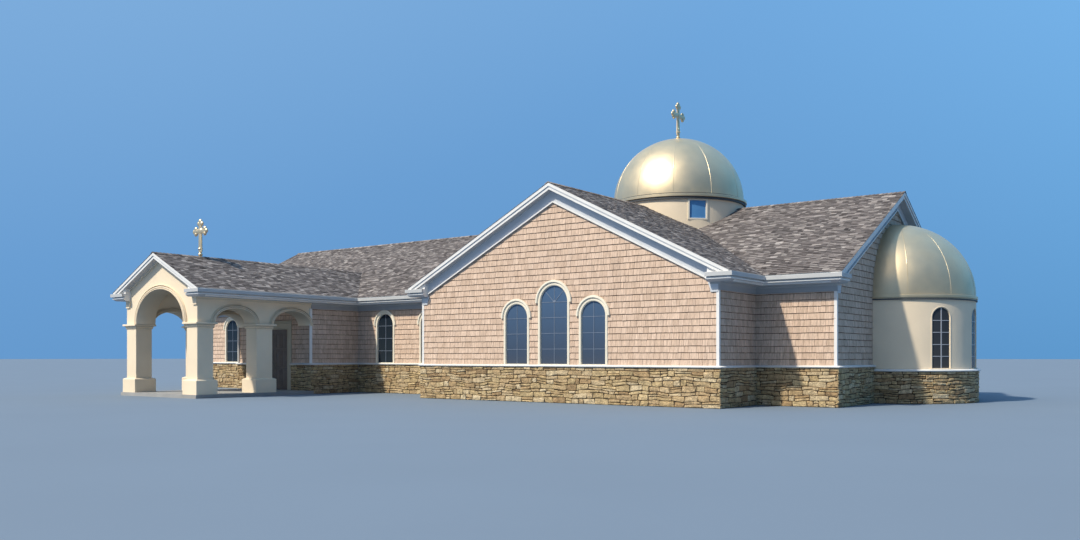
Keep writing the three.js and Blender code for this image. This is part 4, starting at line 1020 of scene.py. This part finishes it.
def ball(centre, radii, rows=8, columns=14):
    """An ellipsoid: its three radii times the cosine and sine of two angles, with a point at each pole."""
    rise = np.linspace(-np.pi / 2, np.pi / 2, rows + 1)[1:-1, None]
    turn = np.linspace(0, 2 * np.pi, columns, endpoint=False)
    level, height = np.cos(rise), np.sin(rise) * np.ones_like(turn)
    points, faces = sheet(np.stack([level * np.cos(turn), level * np.sin(turn), height], -1), around=True)
    low = np.arange(columns)
    high = low + (rows - 2) * columns
    poles = np.repeat(len(points) + np.arange(2), columns)
    caps = np.column_stack([np.append(np.roll(low, -1), high), np.append(low, np.roll(high, -1)), poles])
    points = np.vstack([points, [[0, 0, -1], [0, 0, 1]]])
    return np.asarray(centre) + points * np.asarray(radii), np.vstack([faces, filled(caps, 4)])


def limb(start, end, side, depth):
    """An eight-sided bar whose half width grows with the square of the distance from its start."""
    places = np.linspace(0, 1, 7)[:, None]
    widths = (LIMB_HALF + (LIMB_END - LIMB_HALF) * places**2)[..., None]
    eight = np.radians(np.arange(8) * 45 + 22.5)[:, None]
    around = np.cos(eight) * side * widths + LIMB_DEPTH * np.sin(eight) * depth
    turned = np.dot(np.cross(side, depth), end - start) < 0
    return tube((start + (end - start) * places)[:, None] + around, turned=turned)


def budded_cross(foot, height, span, across):
    """A cross on a turned foot: bars that widen from the middle, three of them ending in three balls. Across is
    the direction of its arms."""
    across = np.array([*across, 0.0])
    depth = np.cross(across, UP)
    foot = np.asarray(foot, float)
    tip = span / 2 - BUD
    crossing = foot + UP * (height - span / 2)
    bud = (np.abs(across) + UP) * BUD + np.abs(depth) * BUD_DEPTH
    parts = []
    for along, side in ((across, UP), (-across, UP), (UP, across), (-UP, across)):
        ends_in_buds = along[2] >= 0
        end = crossing + along * (tip if ends_in_buds else height - span / 2 - STEM_FOOT)
        parts.append(limb(crossing, end, side, depth))
        if ends_in_buds:
            parts.append(ball(end, bud))
            parts += [ball(end - along * BUD_OFFSET + side * way * BUD_OFFSET, bud) for way in (-1, 1)]
    parts.append(ball(crossing, (np.abs(across) + UP) * HUB + np.abs(depth) * HUB_DEPTH, 10, 20))
    parts.append(turned_about(*foot[:2], [(r, foot[2] + z) for r, z in KNOBS], 24))
    return parts


dome_cross = budded_cross((0, 0, RING_TOP + DOME_RADIUS), 1.500, 1.080, NORTH)
piece("gold_dome_cross", dome_cross, GOLD, smooth=40, replaces=["dome_cross"])
portico_cross = budded_cross((PORTICO_X, -11.860, PORTICO_RIDGE), 1.480, 0.960, EAST)
piece("gold_portico_cross", portico_cross, GOLD, smooth=40, replaces=["portico_cross"])


# Roof shingles: laminated tabs in rows from the eaves to the ridge

EXPOSURE, OVERHANG = 0.145, 0.018
ROW = EXPOSURE * 2 / np.sqrt(5)  # level distance of one row's exposure up a roof of 6 in 12
EDGE = HALF + ROOF_EDGE + OVERHANG
RAKE = GABLE_REACH + 0.012
WEST_REACH, ARM_REACH, FRONT_REACH = RAKE - WEST_END, ARM + RAKE, RAKE - PORTICO_FRONT


def roof_tone(rng, count):
    """Middling tones with a third of the tabs paler, a dark band on two in three, and two thicknesses."""
    tone = rng.normal(0.45, 0.12, count) + np.where(rng.uniform(size=count) < 0.35, 0.22, 0.0)
    dark = rng.uniform(size=count) < 0.64
    band = np.where(dark, rng.uniform(0.0, 0.07, count), tone - 0.08)
    return np.clip(tone, 0.12, 1.0), np.clip(band, 0.0, 1.0), np.where(rng.uniform(size=count) < 0.5, 1.0, 0.6)


def beside_crossing(side, reach):
    """Ends of a row from the crossing out to a rake. At a distance from the ridge it starts at the valley, or at
    the drum: the root of the radius squared less that distance squared."""
    def span(away):
        start = max(away, float(np.sqrt(max(0.0, (DRUM_RADIUS + 0.004) ** 2 - away**2))))
        return tuple(sorted((side * start, side * reach)))

    return span


def slope(rng, half, along, span, x=0.0, openings=()):
    """One slope of a roof about x on the long axis: along runs right as seen from outside, and span gives the
    ends of a row at a distance from the ridge."""
    edge = half + ROOF_EDGE + OVERHANG
    inwards = np.array([-along[1], along[0]])
    foot = EAVES_TOP + (half + EAVES_REACH) / 2 - edge / 2
    face = Flat(x - inwards[0] * edge, -inwards[1] * edge, along, (*inwards, 0.5), foot)
    levels = np.append(np.arange(0, edge - 0.03, ROW), edge)
    return lapped(rng, face, levels, lambda v: span(edge - v), openings, roof_tone, widths=(0.11, 0.27), butt=0.018,
                  top=0.005, joint=0.003, band=0.42)


ROOFS = {  # each slope's direction, which side of the crossing it lies on along that, and its reach
    "nave_south": [(EAST, -1, WEST_REACH)],
    "nave_north": [(WEST, 1, WEST_REACH)],
    "transept_south": [(NORTH, -1, ARM_REACH), (SOUTH, 1, ARM_REACH)],
    "transept_north": [(NORTH, 1, ARM_REACH), (SOUTH, -1, ARM_REACH)],
    "east_arm": [(EAST, 1, ARM_REACH), (WEST, -1, ARM_REACH)],
}
for name, slopes in ROOFS.items():
    valleys = [Valley(PORTICO_X, 0.0, EDGE - PORTICO_VALLEY)] if name == "nave_south" else []
    parts = [slope(rng, HALF, along, beside_crossing(side, reach), openings=valleys) for along, side, reach in slopes]
    piece(f"{name}_roof_shingles", parts, ROOF)
parts = [
    slope(rng, PORTICO_HALF, NORTH, lambda away: (-FRONT_REACH, -PORTICO_VALLEY - away), PORTICO_X),
    slope(rng, PORTICO_HALF, SOUTH, lambda away: (PORTICO_VALLEY + away, FRONT_REACH), PORTICO_X),
]
piece("portico_roof_shingles", parts, ROOF)

CAP_HALF, CAP_DROP, CAP_THICKNESS, CAP_LAP = 0.150, 0.075, 0.018, 0.03


def ridge_caps(rng, start, end, height):
    """Folded cap shingles along a ridge: each overlaps the one before, thick at its butt, thin at its head."""
    start, end = np.array([*start, height]), np.array([*end, height])
    length = np.linalg.norm(end - start)
    along = (end - start) / length
    count = int(length / EXPOSURE)
    profile = np.array([(-CAP_HALF, -CAP_DROP), (-0.02, -0.004), (0.02, -0.004), (CAP_HALF, -CAP_DROP)])
    lift = np.array([2, 1])[:, None, None] * CAP_THICKNESS * UP
    reach = np.array([0.0, length / count + CAP_LAP])
    spots = start + ((np.arange(count) * (length / count))[:, None] + reach)[..., None] * along
    grid = spots[:, :, None] + profile[:, :1] * np.cross(along, UP) + profile[:, 1:] * UP + lift
    points = np.concatenate([grid[:, 0], grid[:, 1], grid[:, 0] - CAP_THICKNESS * UP], axis=1)
    pattern = np.array([[0, 1, 5, 4], [1, 2, 6, 5], [2, 3, 7, 6], [8, 9, 1, 0], [9, 10, 2, 1], [10, 11, 3, 2]])
    faces = (pattern[:, ::-1][None] + 12 * np.arange(count)[:, None, None]).reshape(-1, 4)
    return points.reshape(-1, 3), faces, np.repeat(roof_tone(rng, count)[0], 12)


drum_edge = DRUM_RADIUS + 0.01
caps = [ridge_caps(rng, (x * reach, y * reach), (x * drum_edge, y * drum_edge), RIDGE)
        for (x, y), reach in ((WEST, WEST_REACH), (EAST, ARM_REACH), (SOUTH, ARM_REACH), (NORTH, ARM_REACH))]
caps.append(ridge_caps(rng, (PORTICO_X, -FRONT_REACH), (PORTICO_X, -PORTICO_VALLEY), PORTICO_RIDGE))
piece("ridge_caps", caps, ROOF)


# Portico: piers, arches, door

def pier_profile():
    """A pier from its plinth to its capital, as proud and height: a sloped plinth top, a neck band, a hollow
    that opens as a quarter circle, and a slab with a drip."""
    turn = np.radians(np.linspace(0, 90, 7))
    hollow = np.column_stack([0.034 + 0.058 * (1 - np.cos(turn)), 2.628 + 0.058 * np.sin(turn)])
    return np.array([
        (0.110, FLOOR), (0.110, 0.628), (0.096, 0.650), (0.034, 0.676), (0.0, 0.684), (0.0, 2.576), (0.022, 2.580),
        (0.034, 2.590), (0.034, 2.616), *hollow, (0.118, 2.690), (0.118, 2.740), (0.110, PIER_HEAD),
    ])


def pier(x0, x1, y0, y1):
    """A profile carried round a rectangle, with its top and foot closed."""
    corners = np.array(oblong(x0, x1, y0, y1))
    profile, outs = pier_profile()[:, None], mitred(corners, ring=True)
    grid = np.column_stack([corners, np.zeros(4)]) + profile[..., :1] * outs + profile[..., 1:] * UP
    points, faces = sheet(grid, around=True)
    return points, np.vstack([faces, [[3, 2, 1, 0]], [len(points) - 4 + np.arange(4)]])


for flank, side in (("west", -1), ("east", 1)):
    x = sorted((PORTICO_X + side * (PORTICO_HALF - PIER), PORTICO_X + side * PORTICO_HALF))
    for row, y in (("front", (PORTICO_FRONT, PORTICO_FRONT + PIER)), ("middle", MIDDLE_PIER)):
        name = f"portico_{row}_{flank}"
        piece(f"{name}_stucco_pier", [pier(*x, *y)], STUCCO, replaces=[f"{name}_pier"])


def archivolt(width):
    """Profile of the band round an arch: an outer bead, a groove, a flat with a bead on its inner edge, and the
    same behind."""
    outer_bead = [(0.0, 0.0), (0.0, 0.056), (0.006, 0.064), (0.014, 0.064), (0.020, 0.054), (0.022, 0.004),
                  (0.052, 0.004), (0.054, 0.062), (0.060, 0.072)]
    inner_bead = [(0.054, 0.072), (0.050, 0.036), (0.032, 0.036), (0.030, 0.066), (0.022, 0.078), (0.002, 0.078),
                  (-0.010, 0.062)]
    outer = [*((width - inset, lift) for inset, lift in outer_bead), *inner_bead]
    return [*outer, *((out, -PIER - lift) for out, lift in outer[::-1])]


def arch_band(face, centre, arch, width):
    """The band round one of the portico's arches."""
    return on_face(face, *arch_path(centre, **arch, foot=PIER_HEAD, steps=40), archivolt(width))


front_face = Flat(VESTIBULE_WEST, PORTICO_FRONT, EAST)
west_arches = Flat(VESTIBULE_WEST, VESTIBULE, SOUTH)
parts = [arch_band(front_face, PORTICO_HALF, FRONT_ARCH, 0.155)]
parts += [arch_band(east_flank, y - PORTICO_FRONT, FLANK_ARCH, 0.140) for y in FLANK_ARCH_CENTRES]
parts += [arch_band(west_arches, VESTIBULE - y, FLANK_ARCH, 0.140) for y in FLANK_ARCH_CENTRES]
piece("portico_archivolts", parts, STUCCO, smooth=40)

# Portico gable: brackets under the returns, and a bed mould along the flanks
BED_MOULD = [(0.0, 3.575), (0.020, 3.575), (0.030, 3.600), (0.050, 3.640), (0.050, SOFFIT), (0.0, SOFFIT)]
parts = brackets(front_face, PORTICO_HALF)
parts += rake_frieze(front_face, PORTICO_HALF, PORTICO_RIDGE - RAKE_DEPTH, 0.075, 0.0, PORTICO_HALF - 0.2, 0.030)
parts.append(run([(VESTIBULE_EAST, PORTICO_FRONT), (VESTIBULE_EAST, VESTIBULE)], BED_MOULD))
parts.append(run([(VESTIBULE_WEST, VESTIBULE), (VESTIBULE_WEST, PORTICO_FRONT)], BED_MOULD))
piece("portico_brackets", parts, STUCCO)

# Entrance: a moulded edge round the casing, and panels and handles on the leaves
BAND = [(0.228, 0.028), (0.268, 0.028), (0.268, 0.046), (0.258, 0.054), (0.240, 0.054), (0.228, 0.040)]
STOP = [(0.004, 0.028), (0.030, 0.028), (0.030, 0.036), (0.020, 0.042), (0.004, 0.042)]
door_face = Flat(PORTICO_X, VESTIBULE, EAST)
path = [(DOOR_HALF, FLOOR), (DOOR_HALF, DOOR_TOP), (-DOOR_HALF, DOOR_TOP), (-DOOR_HALF, FLOOR)]
parts = [on_face(door_face, path, [(1, 0), (1, 1), (-1, 1), (-1, 0)], profile) for profile in (BAND, STOP)]
parts.append(board(door_face, oblong(-1.185, 1.185, CASING_TOP - 0.010, CASING_TOP + 0.040), 0.0, 0.075))
piece("door_casing_mouldings", parts, DOOR_CASING)

PANEL_BEAD = [(-0.004, -0.002), (0.030, -0.002), (0.030, 0.004), (0.020, 0.012), (0.006, 0.012), (-0.004, 0.006)]
PANEL_COLUMNS = ((0.105, 0.380), (0.520, 0.780))
PANEL_ROWS = ((0.300, 0.980), (1.090, 1.760), (1.884, 2.445))
LEAF_FRONT, LEAF_BACK = VESTIBULE + 0.030, VESTIBULE + 0.080
HANDLE_OFFSET, HANDLE_HEIGHT, PLATE_HALF, PLATE_STRAIGHT = 0.062, 1.130, 0.026, 0.130
GRIP_REACH, GRIP_RADIUS, GRIP_HALF, GRIP_POINTS = 0.052, 0.011, 0.110, 15


def raised_panel(face, u0, u1, v0, v1):
    """A bead round a panel, and a raised field with sloped edges inside it."""
    rings = []
    for inset, lift in ((0.028, 0.0005), (0.062, 0.010)):
        rings.append(face.at(*np.array(oblong(u0 + inset, u1 - inset, v0 + inset, v1 - inset)).T, lift))
    points, faces = sheet(np.stack(rings), around=True)
    return [framed(face, u0, u1, v0, v1, PANEL_BEAD), (points, np.vstack([faces, [[4, 5, 6, 7]]]))]


def handle(face, side):
    """A rounded plate, and a round grip whose reach follows a sine between its ends."""
    centre = side * HANDLE_OFFSET
    turn = np.linspace(0, 2 * np.pi, 24, endpoint=False)
    rise = PLATE_HALF * np.sin(turn) + np.where(np.sin(turn) > 0, PLATE_STRAIGHT, -PLATE_STRAIGHT)
    plate = np.column_stack([centre + PLATE_HALF * np.cos(turn), HANDLE_HEIGHT + rise])
    turn = np.linspace(0, np.pi, GRIP_POINTS)
    depth = LEAF_FRONT - 0.006 - GRIP_REACH * np.sin(turn) ** 0.6
    height = HANDLE_HEIGHT - GRIP_HALF * np.cos(turn)
    grip = np.column_stack([np.full(GRIP_POINTS, PORTICO_X + centre), depth, height])
    tangent = np.gradient(grip, axis=0)
    tangent /= np.linalg.norm(tangent, axis=1, keepdims=True)
    across = np.array([1.0, 0.0, 0.0])
    twelve = np.radians(np.arange(12) * 30)[:, None]
    skin = np.cos(twelve) * across + np.sin(twelve) * np.cross(tangent, across)[:, None]
    return [board(face, plate, -0.001, 0.008), tube(grip[:, None] + GRIP_RADIUS * skin, turned=True)]


leaf_face, leaf_back = Flat(PORTICO_X, LEAF_FRONT, EAST), Flat(PORTICO_X, LEAF_BACK, WEST)
for leaf, side in (("west", -1), ("east", 1)):
    parts = []
    for face, hand in ((leaf_face, side), (leaf_back, -side)):
        for low, high in PANEL_ROWS:
            for near, far in PANEL_COLUMNS:
                parts += raised_panel(face, *sorted((hand * near, hand * far)), low, high)
    piece(f"{leaf}_door_panels", parts, DOOR, body=f"{leaf}_door")
    piece(f"{leaf}_door_handle", handle(leaf_face, side), HARDWARE, body=f"{leaf}_door", smooth=50)

# Finishes of the frame's own solids that stay in view, by the first word that is in the name
FINISHES = {
    "stone_base": PLASTER, "floor": CONCRETE, "door_leaf": DOOR, "door_frame": DOOR_CASING, "arches": STUCCO,
    "front_arch": STUCCO, "roof": TRIM, "wall": PLASTER,
}
for name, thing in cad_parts.items():
    if thing.hide_render:
        continue
    material = next(material for word, material in FINISHES.items() if word in name)
    if not thing.material_slots:
        thing.data.materials.append(material)
    for holder in thing.material_slots:
        holder.material = material

# Floor, light and background
FLOOR_REACH = 620.0
floor_mesh = bpy.data.meshes.new("studio_floor")
floor_corners = [(x, y, 0) for x, y in oblong(-FLOOR_REACH, FLOOR_REACH, -FLOOR_REACH, FLOOR_REACH)]
floor_mesh.from_pydata(floor_corners, [], [(0, 1, 2, 3)])
floor_mesh.materials.append(PAVING)
placed("studio_floor", floor_mesh)

SUN_FROM = (-0.222, -0.638, 0.737)
key = placed("key_light", bpy.data.lights.new("key_light", "SUN"))
key.data.energy = 4.1
key.data.angle = np.radians(2)
key.data.color = (1.0, 0.915, 0.765)
key.rotation_euler = (np.arccos(SUN_FROM[2]), 0, np.arctan2(SUN_FROM[1], SUN_FROM[0]) + np.pi / 2)

world = bpy.data.worlds.new("studio")
bpy.context.scene.world = world
world.use_nodes = True
direction = wire(world, "TexCoord", "Generated")


def facing(vector):
    """How far a ray of the world points along a vector."""
    return wire(world, "VectorMath", "Value", "DOT_PRODUCT", i0=direction, i1=vector)


SKY = [(0.036, 0.104, 0.195), (0.058, 0.204, 0.440), (0.145, 0.343, 0.650), (0.330, 0.562, 0.850)]
LAMPS = [  # two warm lamps round the sun, and a cool one low in the north-east
    (SUN_FROM, 26.0, (2.600, 2.080, 1.290)),
    (SUN_FROM, 7.0, (0.440, 0.320, 0.170)),
    ((0.360, 0.840, 0.400), 5.0, (0.110, 0.260, 0.400)),
]
share = wire(world, "MapRange", "Result", Value=facing((-0.45, 0.10, 0.75)), i1=-0.45, i2=1.0)
sky = ramp(world, share, SKY)
for toward, power, colour in LAMPS:
    forward = wire(world, "Math", "Value", "MAXIMUM", i0=facing(toward), i1=0.0)
    lobe = wire(world, "Math", "Value", "POWER", i0=forward, i1=power)
    lamp = wire(world, "VectorMath", "Vector", "SCALE", i0=colour, Scale=lobe)
    sky = wire(world, "VectorMath", "Vector", i0=sky, i1=lamp)
world.node_tree.links.new(sky, world.node_tree.nodes["Background"].inputs["Color"])
bpy.context.scene.view_settings.view_transform = "Standard"
